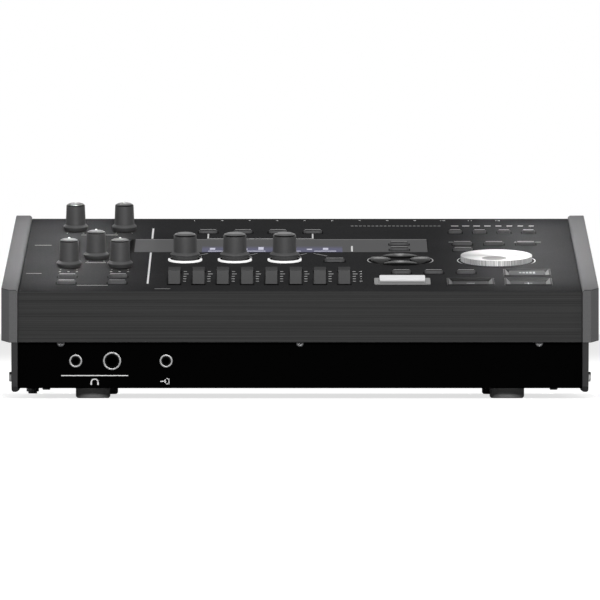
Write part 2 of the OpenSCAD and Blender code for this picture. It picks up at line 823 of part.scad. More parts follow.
// A turned knob on its shaft: the outline is given from the bottom edge up
module turned(outline, top) {
    difference() {
        rotate_extrude() polygon(concat([[0, knob_lift]], outline, [[0, top]]));
        translate([0, 0, knob_lift - 1])
            cylinder(r = shaft_r + shaft_gap, h = top - knob_roof - knob_lift + 1);
    }
    shaft(top - knob_roof - knob_lift);
}

module knob(i) color(KNOB) on_panel(knob_places[i]) {
    waist = knob_r + 0.45;
    skirt_low = 2.5;
    skirt_top = 2.9;
    shoulder = 4.1;
    crown = 1.2;
    flat = 1.65;
    turned([[knob_skirt_r - knob_taper, knob_lift], [knob_skirt_r, skirt_low], [knob_skirt_r, skirt_top],
            [waist + knob_ledge, shoulder], [waist, shoulder], [knob_r, knob_h - crown],
            [knob_r - crown_bow * crown, knob_h - crown / 2], [knob_r - flat, knob_h]], knob_h);
}

// The skirt stays inside the light ring at its foot and widens above it
module encoder_knob(i) color(KNOB) on_panel(encoder_places[i]) {
    waist = encoder_r + 0.15;
    foot = encoder_r + 0.2;
    throat = encoder_r + 0.6;
    skirt_low = 3.9;
    skirt_top = 4.2;
    shoulder = 5.4;
    crown = 1.5;
    flat = 2.4;
    turned([[foot, knob_lift], [throat, ring_h], [encoder_skirt_r, skirt_low], [encoder_skirt_r, skirt_top],
            [waist + knob_ledge, shoulder], [waist, shoulder], [encoder_r, encoder_h - crown],
            [encoder_r - crown_bow * crown, encoder_h - crown / 2], [encoder_r - flat, encoder_h]],
           encoder_h);
}

module jog_dial() color(METAL) on_panel(dial_place) {
    edge = 0.5;
    dimple_place = [-1.4, -9.6];
    ball_r = (dimple_r * dimple_r + dimple_depth * dimple_depth) / (2 * dimple_depth);
    difference() {
        rotate_extrude()
            polygon([[0, dial_lift], [dial_r - edge, dial_lift], [dial_r, dial_lift + edge],
                     [dial_r, dial_h - edge], [dial_r - edge, dial_h], [0, dial_h]]);
        translate([dimple_place[0], dimple_place[1], dial_h + ball_r - dimple_depth]) sphere(ball_r);
        translate([0, 0, dial_lift - 1]) cylinder(r = shaft_r + shaft_gap, h = dial_pocket - dial_lift + 1);
    }
    shaft(dial_pocket - dial_play);
}

module fader(i) color(KEY) on_panel(fader_places[i]) {
    scoop_r = 30;
    scoop = 0.7;
    pocket = 4;
    difference() {
        translate([-cap_w / 2, -cap_l / 2, -cap_dip]) cube([cap_w, cap_l, cap_h + cap_dip]);
        translate([0, 0, cap_h + scoop_r - scoop])
            rotate([0, 90, 0])
                cylinder(r = scoop_r, h = cap_w + 2, center = true);
        translate([-lever_w / 2 - shaft_gap, -lever_l / 2 - shaft_gap, -cap_dip - 1])
            cube([lever_w + 2 * shaft_gap, lever_l + 2 * shaft_gap, pocket + cap_dip + 1]);
    }
    depth = panel_t + slide_depth - 1;
    translate([-lever_w / 2, -lever_l / 2, -depth]) cube([lever_w, lever_l, depth + pocket - 0.1]);
}

// Flange and stem under a key. The flange is caught at the given depth under the surface.
module key_foot(under) {
    top = -under - stop_gap;
    translate([0, 0, top - flange_t]) linear_extrude(flange_t) children();
    low = switch_w - well_depth;
    translate([0, 0, low]) cylinder(r = stem_r, h = top - flange_t - low + key_lap);
}

module small_key(key, under = panel_t) color(KEY) on_panel(key) {
    low = under + stop_gap + key_lap;
    translate([0, 0, -low]) linear_extrude(low + pill_h) rounded(key[2], pill_d, pill_d / 2);
    key_foot(under) rounded(key[2] + 2 * flange_lap, pill_d + 2 * flange_lap, pill_d / 2 + flange_lap);
}

module big_key(place, height, under) on_panel(place) {
    low = under + stop_gap + key_lap;
    translate([0, 0, -low]) linear_extrude(low + height) rounded(place[2], place[3], big_corner);
    key_foot(under) rounded(place[2] + 2 * flange_lap, place[3] + 2 * flange_lap, big_corner + flange_lap);
}

module enter_key() color(WHITE) big_key(enter_place, enter_h, panel_t);

module tray_key(i) color(KEY) big_key(tray_places[i], tray_heights[i], tray_under);

// Outline of one cursor key: 0 is right, then up, left and down
module cursor_outline(i, grow = 0) rotate([0, 0, 90 * i]) {
    if (i % 2 == 0) intersection() {
        side = [cursor_r * cos(wedge_angle) - wedge_tip, cursor_r * sin(wedge_angle)];
        tip = [wedge_tip - grow / sin(atan2(side[1], side[0])), 0];
        reach = 3;
        circle(cursor_r + grow);
        polygon([tip, tip + reach * [side[0], -side[1]], tip + reach * side]);
    }
    else intersection() {
        circle(cursor_r + grow);
        translate([lens_out, 0]) circle(lens_r + grow);
    }
}

module cursor_key(i) color(KNOB) on_panel(cursor_place) {
    low = panel_t + stop_gap + key_lap;
    flange_w = 8;
    intersection() {
        translate([0, 0, -low]) linear_extrude(low + cursor_h) cursor_outline(i);
        rotate([0, 0, 90 * i]) translate([cursor_mid, 0, cursor_h - dome_r]) sphere(dome_r, $fn = dome_fn);
    }
    inner = (i % 2 == 0 ? wedge_tip : lens_out - lens_r) - flange_lap - key_gap;
    length = cursor_r + flange_lap + key_gap - inner;
    rotate([0, 0, 90 * i])
        translate([cursor_mid, 0, 0])
            key_foot(panel_t)
                translate([inner - cursor_mid, -flange_w / 2])
                    square([length, flange_w]);
}

// Sockets

// A socket whose neck points along -Y from the wall's outer face at y = 0
module jack(bore, neck_r, body) {
    depth = chassis_t + socket_d - socket_back;
    lap = 0.1;
    difference() {
        union() {
            translate([0, chassis_t + lap, 0])
                rotate([90, 0, 0])
                    cylinder(r = neck_r, h = neck_out + chassis_t + lap);
            translate([-body[0] / 2, chassis_t, -body[1] / 2]) cube([body[0], socket_d, body[1]]);
        }
        translate([0, depth, 0]) rotate([90, 0, 0]) cylinder(r = bore, h = depth + neck_out + 1);
    }
}

module rear_place(x, z) translate([x, rear_wall_y, z]) rotate([0, 0, 180]) children();

module din_socket() {
    pin_ring = 3.8;
    pin_r = 0.8;
    pin_l = 5;
    flange = 3;
    difference() {
        union() {
            translate([0, din_depth, 0]) rotate([90, 0, 0]) cylinder(r = din_r, h = din_depth + neck_out / 2);
            translate([0, chassis_t + flange, 0]) rotate([90, 0, 0]) cylinder(r = din_r + 1, h = flange);
        }
        for (turn = [0:45:180])
            rotate([0, -turn, 0])
                translate([pin_ring, pin_l, 0])
                    rotate([90, 0, 0])
                        cylinder(r = pin_r, h = pin_l + neck_out);
    }
}

module usb_socket() difference() {
    translate([-usb_size[0] / 2, -neck_out / 2, -usb_size[1] / 2])
        cube([usb_size[0], usb_depth + neck_out / 2, usb_size[1]]);
    translate([-usb_hole[0] / 2, -neck_out, -usb_hole[1] / 2])
        cube([usb_hole[0], usb_depth - usb_back + neck_out, usb_hole[1]]);
}

module power_inlet() {
    body_r = inlet_r + 1;
    body_l = 12;
    bore_l = 10;
    pin_l = 9;
    lap = 0.1;
    difference() {
        union() {
            translate([0, chassis_t + lap, 0])
                rotate([90, 0, 0])
                    cylinder(r = inlet_r, h = neck_out / 2 + chassis_t + lap);
            translate([-body_r, chassis_t, -body_r]) cube([2 * body_r, body_l, 2 * body_r]);
        }
        translate([0, bore_l, 0]) rotate([90, 0, 0]) cylinder(r = inlet_hole_r, h = bore_l + neck_out);
    }
    translate([0, bore_l + lap, 0]) rotate([90, 0, 0]) cylinder(r = inlet_pin_r, h = pin_l);
}

// Outer size of the rocker's case in the rear wall
function rocker_case() =
    2 * [rocker_w / 2 + rocker_gap + rocker_wall, rocker_half + rocker_swing + rocker_wall];

module rocker_frame() {
    case = rocker_case();
    hole = case - [2, 2] * rocker_wall;
    difference() {
        union() {
            translate([-case[0] / 2, 0, -case[1] / 2]) cube([case[0], rocker_depth, case[1]]);
            translate([-case[0] / 2 - rocker_rim, -panel_t, -case[1] / 2 - rocker_rim])
                cube([case[0] + 2 * rocker_rim, panel_t, case[1] + 2 * rocker_rim]);
        }
        translate([-hole[0] / 2, -panel_t - 1, -hole[1] / 2])
            cube([hole[0], rocker_depth + panel_t - 1, hole[1]]);
        translate([0, rear_wall_y - rocker_y, 0])
            rotate([0, 90, 0])
                cylinder(r = rocker_pin_r + shaft_gap, h = hole[0] + 2 * rocker_pin_l, center = true);
    }
}

module sockets() color(BLACK) {
    translate([phone_front_x, front_wall_y, front_row]) jack(phone_r, phone_neck_r, phone_body);
    for (x = mini_front_x) translate([x, front_wall_y, front_row]) jack(mini_r, mini_neck_r, mini_body);
    for (x = upper_x) rear_place(x, rear_row_2) jack(phone_r, phone_neck_r, phone_body);
    for (x = lower_x) rear_place(x, rear_row_1) jack(phone_r, phone_neck_r, phone_body);
    for (x = din_x) rear_place(x, rear_row_1) din_socket();
    rear_place(usb_x, rear_row_1) usb_socket();
    rear_place(inlet_x, rear_row_1) power_inlet();
    rear_place(rocker_x, rear_row_1) rocker_frame();
}

module power_rocker() color(BLACK) translate([rocker_x, rocker_y, rear_row_1]) rotate([-rocker_tilt, 0, 0]) {
    crest = 3.6;
    hollow = 2;
    side = 1.5;
    keel = 3;
    pin_play = 0.2;
    pin_l = rocker_w + 2 * (rocker_gap + rocker_pin_l - pin_play);
    across(-rocker_w / 2, rocker_w)
        polygon([[-keel, -keel], [-side, -rocker_half], [crest, -rocker_half], [hollow, 0],
                 [crest, rocker_half], [-side, rocker_half], [-keel, keel]]);
    rotate([0, 90, 0]) cylinder(r = rocker_pin_r, h = pin_l, center = true);
}

// Drawing

module small_keys_of(name, keys, under = panel_t) {
    for (i = [0:len(keys) - 1])
        small_key(keys[i], under);
}

top_panel();
lower_chassis();
left_cheek();
right_cheek();
display_window();
display_module();
circuit_boards();
control_bodies();
bezel_frames();
sockets();
feet();
fasteners();
for (i = [0:4]) knob(i);
for (i = [0:2]) encoder_knob(i);
jog_dial();
for (i = [0:fader_n - 1]) fader(i);
for (i = [0:3]) cursor_key(i);
enter_key();
for (i = [0:2]) tray_key(i);
small_key(exit_keys[0]);  // exit_key
power_rocker();
small_keys_of("function_key", function_keys);
small_keys_of("page_key", page_keys, panel_t + window_flange);
small_keys_of("edit_key", edit_keys);
small_keys_of("menu_key", menu_keys);
small_keys_of("kit_key", kit_keys);
small_keys_of("track_key", track_keys);
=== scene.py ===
import json
import math

import bpy
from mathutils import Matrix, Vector


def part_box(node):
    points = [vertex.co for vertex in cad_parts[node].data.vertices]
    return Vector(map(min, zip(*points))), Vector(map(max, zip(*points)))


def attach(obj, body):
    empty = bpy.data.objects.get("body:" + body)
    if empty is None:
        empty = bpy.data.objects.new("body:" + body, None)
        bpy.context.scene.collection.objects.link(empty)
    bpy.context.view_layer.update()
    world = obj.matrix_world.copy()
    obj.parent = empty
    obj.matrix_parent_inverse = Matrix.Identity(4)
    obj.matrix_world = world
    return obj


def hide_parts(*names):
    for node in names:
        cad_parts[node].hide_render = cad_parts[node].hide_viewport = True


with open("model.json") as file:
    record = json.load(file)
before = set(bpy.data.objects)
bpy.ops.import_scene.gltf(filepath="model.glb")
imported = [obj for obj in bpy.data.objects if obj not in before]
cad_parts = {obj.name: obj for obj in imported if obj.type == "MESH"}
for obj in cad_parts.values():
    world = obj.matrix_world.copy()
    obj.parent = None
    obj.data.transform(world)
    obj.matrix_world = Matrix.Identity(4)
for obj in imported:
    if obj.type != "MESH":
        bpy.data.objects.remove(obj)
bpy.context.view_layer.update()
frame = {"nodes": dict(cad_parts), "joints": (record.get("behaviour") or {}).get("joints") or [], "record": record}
scene = bpy.context.scene
scene.view_settings.view_transform = "Standard"


# Studio: a pale floor under the module and soft lamps around it, with every size in metres.
# Floor and surroundings look plain white, and the floor keeps the module's shadow.
# The camera stands far in front and low down, as the photograph's perspective shows.
def calculator(nodes, links):
    """Gives a function that adds a Math node, fed by sockets or plain values, and hands back its result."""
    def calc(operation, *values):
        node = nodes.new("ShaderNodeMath")
        node.operation = operation
        for socket, value in zip(node.inputs, values):
            if isinstance(value, (int, float)):
                socket.default_value = value
            else:
                links.new(value, socket)
        return node.outputs[0]

    return calc


def map_range(nodes, links, value, from_range=(0, 1), to_range=(0, 1), eased=False):
    """Carries a value from one range to another, along a straight or an eased line."""
    node = nodes.new("ShaderNodeMapRange")
    if eased:
        node.interpolation_type = "SMOOTHSTEP"
    for name, limit in zip(("From Min", "From Max", "To Min", "To Max"), (*from_range, *to_range)):
        node.inputs[name].default_value = limit
    links.new(value, node.inputs["Value"])
    return node.outputs["Result"]


def blank(name):
    """A new material, with its nodes, its links and its shader."""
    material = bpy.data.materials.new(name)
    material.use_nodes = True
    tree = material.node_tree
    return material, tree.nodes, tree.links, tree.nodes["Principled BSDF"]


floor_size, floor_back = 14, 2
floor_grey, floor_glow = 0.6, 0.72
bpy.ops.object.select_all(action="DESELECT")
bpy.ops.mesh.primitive_plane_add(size=floor_size, location=(0, floor_back, 0))
floor = bpy.context.object
floor.name = "floor"
bpy.ops.object.mode_set(mode="EDIT")
bpy.ops.mesh.subdivide(number_cuts=6)
bpy.ops.object.mode_set(mode="OBJECT")
floor_paint, nodes, links, shader = blank("floor_paint")
nodes.remove(shader)
matt = nodes.new("ShaderNodeBsdfDiffuse")
matt.inputs["Color"].default_value = (floor_grey, floor_grey, floor_grey, 1)
glow = nodes.new("ShaderNodeEmission")
path = nodes.new("ShaderNodeLightPath")
glow_seen = calculator(nodes, links)("MULTIPLY", path.outputs["Is Camera Ray"], floor_glow)
links.new(glow_seen, glow.inputs["Strength"])
both = nodes.new("ShaderNodeAddShader")
links.new(matt.outputs[0], both.inputs[0])
links.new(glow.outputs[0], both.inputs[1])
links.new(both.outputs[0], nodes["Material Output"].inputs["Surface"])
floor.data.materials.append(floor_paint)

sky_light, sky_seen = 0.14, 1.0
sky = bpy.data.worlds.new("studio_sky")
scene.world = sky
sky.use_nodes = True
nodes, links = sky.node_tree.nodes, sky.node_tree.links
calc = calculator(nodes, links)
path = nodes.new("ShaderNodeLightPath")
mirrored = calc("MAXIMUM", path.outputs["Is Glossy Ray"], path.outputs["Is Transmission Ray"])
seen = calc("MAXIMUM", path.outputs["Is Camera Ray"], mirrored)
backdrop = nodes["Background"]
backdrop.inputs["Color"].default_value = (1, 1, 1, 1)
links.new(map_range(nodes, links, seen, to_range=(sky_light, sky_seen)), backdrop.inputs["Strength"])

for lamp_name, place, aim, size, power in (
        ("lamp_above", (0.0, -0.25, 2.4), (0, 0.05, 0.05), 1.9, 13),
        ("lamp_front", (0.1, -3.2, 1.0), (0, 0, 0.05), 0.5, 80),
        ("lamp_left", (-2.0, 2.2, 0.9), (0, 0, 0.06), 1.0, 30),
        ("lamp_right", (2.0, 2.2, 0.9), (0, 0, 0.06), 1.0, 30)):
    bpy.ops.object.light_add(type="AREA", location=place)
    lamp = bpy.context.object
    lamp.name = lamp_name
    lamp.data.size = size
    lamp.data.energy = power
    lamp.rotation_euler = (Vector(aim) - Vector(place)).to_track_quat("-Z", "Y").to_euler()

# Two narrow strips above the ends of the panel, which the photograph shows brighter than its middle
strip_x, strip_up, strip_w, strip_l = 0.138, 1.5, 0.03, 0.22
for strip_name, side in (("strip_left", -1), ("strip_right", 1)):
    bpy.ops.object.light_add(type="AREA", location=(side * strip_x, 0, strip_up))
    strip = bpy.context.object
    strip.name = strip_name
    strip.data.shape = "RECTANGLE"
    strip.data.size = strip_w
    strip.data.size_y = strip_l
    strip.data.spread = math.radians(4)
    strip.data.energy = 0.1

eye_y, eye_z = -4.998, 0.05684
bpy.ops.object.camera_add(location=(0, eye_y, eye_z), rotation=(math.pi / 2, 0, 0))
scene.camera = bpy.context.object
scene.camera.data.sensor_width = 36
scene.camera.data.lens = 506.1
scene.camera.data.clip_end = 60

# Lower chassis: a folded tray of black powder-coated steel that carries everything else.
# Its walls are bent up from one sheet, so every edge is a small radius, and the coat is faintly rough.
# From here on, sizes are in mm and colours are linear.
mm = 0.001


def deselect():
    if bpy.context.mode != "OBJECT":
        bpy.ops.object.mode_set(mode="OBJECT")
    bpy.ops.object.select_all(action="DESELECT")


def only(piece):
    deselect()
    piece.select_set(True)
    bpy.context.view_layer.objects.active = piece


def solid_of(node, name):
    """A merged copy of a node's solid, with flat faces made whole, to be finished further."""
    weld, flatness = 0.002 * mm, math.radians(0.2)
    mesh = frame["nodes"][node].data.copy()
    mesh.name = name
    mesh.materials.clear()
    piece = bpy.data.objects.new(name, mesh)
    scene.collection.objects.link(piece)
    only(piece)
    bpy.ops.mesh.customdata_custom_splitnormals_clear()
    bpy.ops.object.mode_set(mode="EDIT")
    bpy.ops.mesh.select_all(action="SELECT")
    bpy.ops.mesh.remove_doubles(threshold=weld)
    bpy.ops.mesh.dissolve_limited(angle_limit=flatness)
    bpy.ops.object.mode_set(mode="OBJECT")
    return piece


def pick_faces(piece, test):
    """Selects the faces that pass the test, and stays in edit mode."""
    bpy.ops.object.mode_set(mode="EDIT")
    bpy.ops.mesh.select_all(action="DESELECT")
    bpy.ops.object.mode_set(mode="OBJECT")
    for face in piece.data.polygons:
        face.select = test(face)
    bpy.ops.object.mode_set(mode="EDIT")


def soften(piece, width, segments=2, angle=32, smooth=35):
    """Rounds the edges, by a width in mm, shades the rounds smooth and keeps large faces flat."""
    large_face = 40 * mm ** 2
    only(piece)
    rounder = piece.modifiers.new("rounded", "BEVEL")
    rounder.limit_method = "ANGLE"
    rounder.angle_limit = math.radians(angle)
    rounder.width = width * mm
    rounder.segments = segments
    rounder.use_clamp_overlap = False
    bpy.ops.object.modifier_apply(modifier=rounder.name)
    bpy.ops.object.shade_smooth_by_angle(angle=math.radians(smooth))
    bpy.ops.object.mode_set(mode="EDIT")
    bpy.ops.mesh.select_all(action="SELECT")
    bpy.ops.mesh.quads_convert_to_tris(quad_method="BEAUTY", ngon_method="BEAUTY")
    pick_faces(piece, lambda face: face.area > large_face)
    bpy.ops.mesh.faces_shade_flat()
    bpy.ops.object.mode_set(mode="OBJECT")
    flat_first = piece.modifiers.new("flat_first", "WEIGHTED_NORMAL")
    flat_first.keep_sharp = True
    flat_first.weight = 100
    bpy.ops.object.modifier_apply(modifier=flat_first.name)


def dress(piece, body, slot, *finishes):
    """Gives a piece its finishes, the first of them all over, and the body that it moves with."""
    for finish in finishes:
        piece.data.materials.append(finish)
    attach(piece, body)
    return piece


def refine(node, name, width, body, slot, *finishes, **rounding):
    """A softened and dressed copy of a node's solid, which takes the node's place."""
    piece = solid_of(node, name)
    soften(piece, width, **rounding)
    dress(piece, body, slot, *finishes)
    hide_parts(node)
    return piece


def paint_faces(piece, finish, test):
    """Gives the faces whose centre and normal pass the test another of the piece's finishes."""
    only(piece)
    piece.active_material_index = piece.data.materials.find(finish.name)
    pick_faces(piece, lambda face: test(face.center, face.normal))
    bpy.ops.object.material_slot_assign()
    bpy.ops.object.mode_set(mode="OBJECT")


def grain_group():
    """Fine moulded or sprayed grain: a toned colour, a varied roughness and a bumped normal."""
    broad_scale, broad_share = 22, 0.35
    group = bpy.data.node_groups.new("fine_grain", "ShaderNodeTree")
    for name, kind, value in (("Colour", "NodeSocketColor", (0.1, 0.1, 0.1, 1)),
                              ("Tone", "NodeSocketFloat", 0.2),
                              ("Roughness", "NodeSocketFloat", 0.5),
                              ("Roughness Spread", "NodeSocketFloat", 0.1),
                              ("Grain Size", "NodeSocketFloat", 1500),
                              ("Depth", "NodeSocketFloat", 0.05),
                              ("Stretch", "NodeSocketVector", (1, 1, 1))):
        group.interface.new_socket(name, in_out="INPUT", socket_type=kind).default_value = value
    for name, kind in (("Colour", "NodeSocketColor"), ("Roughness", "NodeSocketFloat"),
                       ("Normal", "NodeSocketVector")):
        group.interface.new_socket(name, in_out="OUTPUT", socket_type=kind)
    nodes, link = group.nodes, group.links.new
    calc = calculator(nodes, group.links)
    given, put = nodes.new("NodeGroupInput"), nodes.new("NodeGroupOutput")
    place = nodes.new("ShaderNodeTexCoord")
    stretched = nodes.new("ShaderNodeVectorMath")
    stretched.operation = "MULTIPLY"
    link(place.outputs["Object"], stretched.inputs[0])
    link(given.outputs["Stretch"], stretched.inputs[1])
    fine = nodes.new("ShaderNodeTexNoise")
    fine.inputs["Detail"].default_value = 3
    link(stretched.outputs[0], fine.inputs["Vector"])
    link(given.outputs["Grain Size"], fine.inputs["Scale"])
    broad = nodes.new("ShaderNodeTexNoise")
    broad.inputs["Scale"].default_value = broad_scale
    broad.inputs["Detail"].default_value = 2
    link(stretched.outputs[0], broad.inputs["Vector"])
    mixed = calc("MULTIPLY_ADD", broad.outputs["Fac"], broad_share, fine.outputs["Fac"])
    centred = calc("SUBTRACT", mixed, (1 + broad_share) / 2)
    scaled = nodes.new("ShaderNodeVectorMath")
    scaled.operation = "SCALE"
    link(given.outputs["Colour"], scaled.inputs[0])
    link(calc("MULTIPLY_ADD", centred, given.outputs["Tone"], 1), scaled.inputs["Scale"])
    link(scaled.outputs[0], put.inputs["Colour"])
    rough = calc("MULTIPLY_ADD", centred, given.outputs["Roughness Spread"], given.outputs["Roughness"])
    rough.node.use_clamp = True
    link(rough, put.inputs["Roughness"])
    bump = nodes.new("ShaderNodeBump")
    bump.inputs["Distance"].default_value = 0.1 * mm
    link(given.outputs["Depth"], bump.inputs["Strength"])
    link(fine.outputs["Fac"], bump.inputs["Height"])
    link(bump.outputs["Normal"], put.inputs["Normal"])
    return group


fine_grain = grain_group()


def finish_of(name, colour, roughness, tone=0.25, spread=0.12, size=1500, depth=0.08, stretch=(1, 1, 1),
              **sockets):
    """A grained finish: plain values go on the shader, the grain comes from the shared group."""
    material, nodes, links, shader = blank(name)
    for socket, value in sockets.items():
        shader.inputs[socket.replace("_", " ")].default_value = value
    grain = nodes.new("ShaderNodeGroup")
    grain.node_tree = fine_grain
    for socket, value in (("Colour", (*colour, 1)), ("Tone", tone), ("Roughness", roughness),
                          ("Roughness Spread", spread), ("Grain Size", size), ("Depth", depth),
                          ("Stretch", stretch)):
        grain.inputs[socket].default_value = value
    for given, taken in (("Colour", "Base Color"), ("Roughness", "Roughness"), ("Normal", "Normal")):
        links.new(grain.outputs[given], shader.inputs[taken])
    return material


# The least lean at which a face counts as turned one way
facing = 0.9
rear_zone = 120 * mm
black_coat = finish_of("black_coat", (0.0009, 0.0009, 0.0009), 0.6, tone=0.5, size=2600, depth=0.1,
                       Specular_IOR_Level=0.002)
rear_coat = finish_of("rear_coat", (0.014, 0.014, 0.014), 0.6, tone=0.5, size=2600, depth=0.1,
                      Specular_IOR_Level=0.05)
chassis = refine("lower_chassis", "chassis_tray", 0.3, "case", "chassis", black_coat, rear_coat)
paint_faces(chassis, rear_coat, lambda centre, normal: centre.y > rear_zone or normal.z < -facing)

# Feet: four moulded rubber pucks, each dished for the screw that holds it under the floor sheet.
# The rubber is dull and slightly dusty.
rubber = finish_of("foot_rubber", (0.2, 0.2, 0.2), 0.75, tone=0.4, size=900, depth=0.2,
                   Specular_IOR_Level=0.1)
refine("feet", "foot_pucks", 0.2, "case", "foot", rubber, segments=3)

# Circuit boards, display block and control bodies: bare assemblies inside the closed case.
# They show only through the gaps of the panel, so the plain solids stay, and the grey mouldings
# are nearly black there.
solder_mask = finish_of("solder_mask", (0.01, 0.06, 0.03), 0.4, tone=0.6, size=260, depth=0.1)
moulded_grey = finish_of("moulded_grey", (0.004, 0.004, 0.004), 0.55, tone=0.3, size=900,
                         Specular_IOR_Level=0.02)
for node, finish in (("circuit_boards", solder_mask), ("display_module", moulded_grey),
                     ("control_bodies", moulded_grey)):
    solid = frame["nodes"][node]
    solid.data.materials.clear()
    solid.data.materials.append(finish)

# Sockets: black moulded bodies behind the walls, whose threaded necks reach through.
# Each phone and mini neck shows a smooth black face inside its bright ring nut.
socket_black = finish_of("socket_black", (0.0016, 0.0016, 0.0016), 0.5, tone=0.3, size=1200, depth=0.05,
                         Specular_IOR_Level=0.02)
socket_grey = finish_of("socket_grey", (0.03, 0.03, 0.031), 0.4, tone=0.3, size=1200, depth=0.05,
                        Specular_IOR_Level=0.2)
sockets = refine("sockets", "socket_bodies", 0.2, "case", "socket", socket_black, socket_grey)
paint_faces(sockets, socket_grey, lambda centre, normal: centre.y > 0)


# Fasteners: plated ring nuts and side screws, and small blackened screws in the lip, rear and bottom.
# The heads are cross-slotted and the plating is finely mottled.
# The side screws are graded, which stands in for the reflection that the photograph shows on them.
def blend(nodes, links, share, first, second):
    """Mixes two colours, each a socket or plain values, by a share from 0 to 1."""
    node = nodes.new("ShaderNodeMix")
    node.data_type = "RGBA"
    links.new(share, node.inputs["Factor"])
    for name, colour in (("A", first), ("B", second)):
        if isinstance(colour, tuple):
            node.inputs[name].default_value = (*colour, 1)
        else:
            links.new(colour, node.inputs[name])
    return node.outputs["Result"]


def object_axes(nodes, links):
    """A point's place on the object, whole and split into its three axes."""
    where, axes = nodes.new("ShaderNodeTexCoord"), nodes.new("ShaderNodeSeparateXYZ")
    links.new(where.outputs["Object"], axes.inputs[0])
    return where.outputs["Object"], axes.outputs


def mottle(nodes, links, shader, where, scale, low, high):
    """Varies a shader's roughness between two values, in spots."""
    spots = nodes.new("ShaderNodeTexNoise")
    spots.inputs["Scale"].default_value = scale
    links.new(where, spots.inputs["Vector"])
    links.new(map_range(nodes, links, spots.outputs["Fac"], to_range=(low, high)), shader.inputs["Roughness"])


def graded(name, axis, low, high, dull, bright, glow=0):
    """A finish of painted light and shade, which runs from dull at the low place to bright at the high one, both
    in mm along an axis.
    """
    material, nodes, links, shader = blank(name)
    shader.inputs["Specular IOR Level"].default_value = 0.02
    where, axes = object_axes(nodes, links)
    run = map_range(nodes, links, axes[axis], (low * mm, high * mm), eased=True)
    links.new(blend(nodes, links, run, (dull,) * 3, (bright,) * 3), shader.inputs["Base Color"])
    if glow:
        shader.inputs["Emission Color"].default_value = (1, 1, 1, 1)
        links.new(calculator(nodes, links)("MULTIPLY", run, glow), shader.inputs["Emission Strength"])
    mottle(nodes, links, shader, where, 700, 0.3, 0.42)
    return material


plated = finish_of("nickel_plate", (0.18, 0.18, 0.18), 0.42, tone=0.25, size=1800, depth=0.05, Metallic=0.8)
side_steel = graded("side_steel", "Z", 14.4, 12.6, 0.012, 0.62)
black_screw = finish_of("black_screw", (0.075, 0.075, 0.077), 0.32, tone=0.3, size=1600, depth=0.04,
                        Metallic=0.7)
mounts = {mount["name"]: Vector(mount["pos_m"]) for mount in frame["record"]["mounts"]}
nut_rows = [mounts[name] for name in ("front_phone_socket", "rear_lower_socket_1", "rear_upper_socket_1")]
nut_reach, nut_height, side_zone = 2.4 * mm, 8 * mm, 165 * mm
fasteners = refine("fasteners", "screws_and_nuts", 0.18, "case", "screw", black_screw, plated, side_steel)
paint_faces(fasteners, plated, lambda centre, normal: any(
    abs(centre.y - row.y) < nut_reach and abs(centre.z - row.z) < nut_height for row in nut_rows))
paint_faces(fasteners, side_steel, lambda centre, normal: abs(centre.x) > side_zone)

# Top panel: one folded sheet with a sprayed, finely grained top and a brushed front apron.
# Its tabs are screwed to the front wall of the chassis, and its folds and cut-outs have small radii.
# A place on it is given by x across and t back from the fold.
panel_paint = finish_of("panel_paint", (0.031, 0.031, 0.032), 0.7, tone=1.0, spread=0.2, size=1300,
                        depth=0.25, Specular_IOR_Level=0.0006)
brushed = finish_of("brushed_apron", (0.036, 0.036, 0.036), 0.5, tone=1.3, spread=0.3, size=100, depth=0.12,
                    stretch=(0.05, 1, 20), Specular_IOR_Level=0.02)
joint_of = {joint["child"]: joint for joint in frame["joints"]}
panel_out = Vector(joint_of["jog_dial"]["axis"])
slope = math.asin(-panel_out.y)
dial_hub = Vector(joint_of["jog_dial"]["pos_m"])
fold_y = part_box("top_panel")[0][1]
fold_z = dial_hub.z - (dial_hub.y - fold_y) * math.tan(slope)
panel = refine("top_panel", "panel_sheet", 0.25, "case", "panel", panel_paint, brushed)
apron_depth = 0.4 * mm
paint_faces(panel, brushed, lambda centre, normal: normal.y < -facing and centre.y < fold_y + apron_depth)


def on_panel(x, t):
    """The point at x across the panel and t back from the fold, both in mm."""
    return Vector((x * mm, fold_y + t * mm, fold_z + t * mm * math.tan(slope)))


def above(point):
    """How far a point stands out of the panel, in mm."""
    return (point - on_panel(0, 0)).dot(panel_out) / mm


def hub_of(node):
    """Where a turning piece's axis meets the panel: x and t in mm."""
    place = joint_of[node]["pos_m"]
    return place[0] / mm, (place[1] - fold_y) / mm


def top_of(node):
    """The middle across and back, width, depth and rise, in mm, of a piece's top face."""
    skin = 0.1
    corners = [vertex.co for vertex in frame["nodes"][node].data.vertices]
    rise = max(above(corner) for corner in corners)
    edge = [corner for corner in corners if above(corner) > rise - skin]
    across = [corner.x / mm for corner in edge]
    back = [(corner.y - fold_y) / mm + above(corner) * math.sin(slope) for corner in edge]
    return ((min(across) + max(across)) / 2, (min(back) + max(back)) / 2,
            max(across) - min(across), max(back) - min(back), rise)


# Printed marks: silk-screened lines, ticks and plain numbers on the panel and on the front and rear walls.
# Each is a film of ink with a measurable edge, laid flat on the paint.
ink_film = 0.03
front_wall = mounts["front_phone_socket"].y
rear_wall = mounts["rear_upper_socket_1"].y


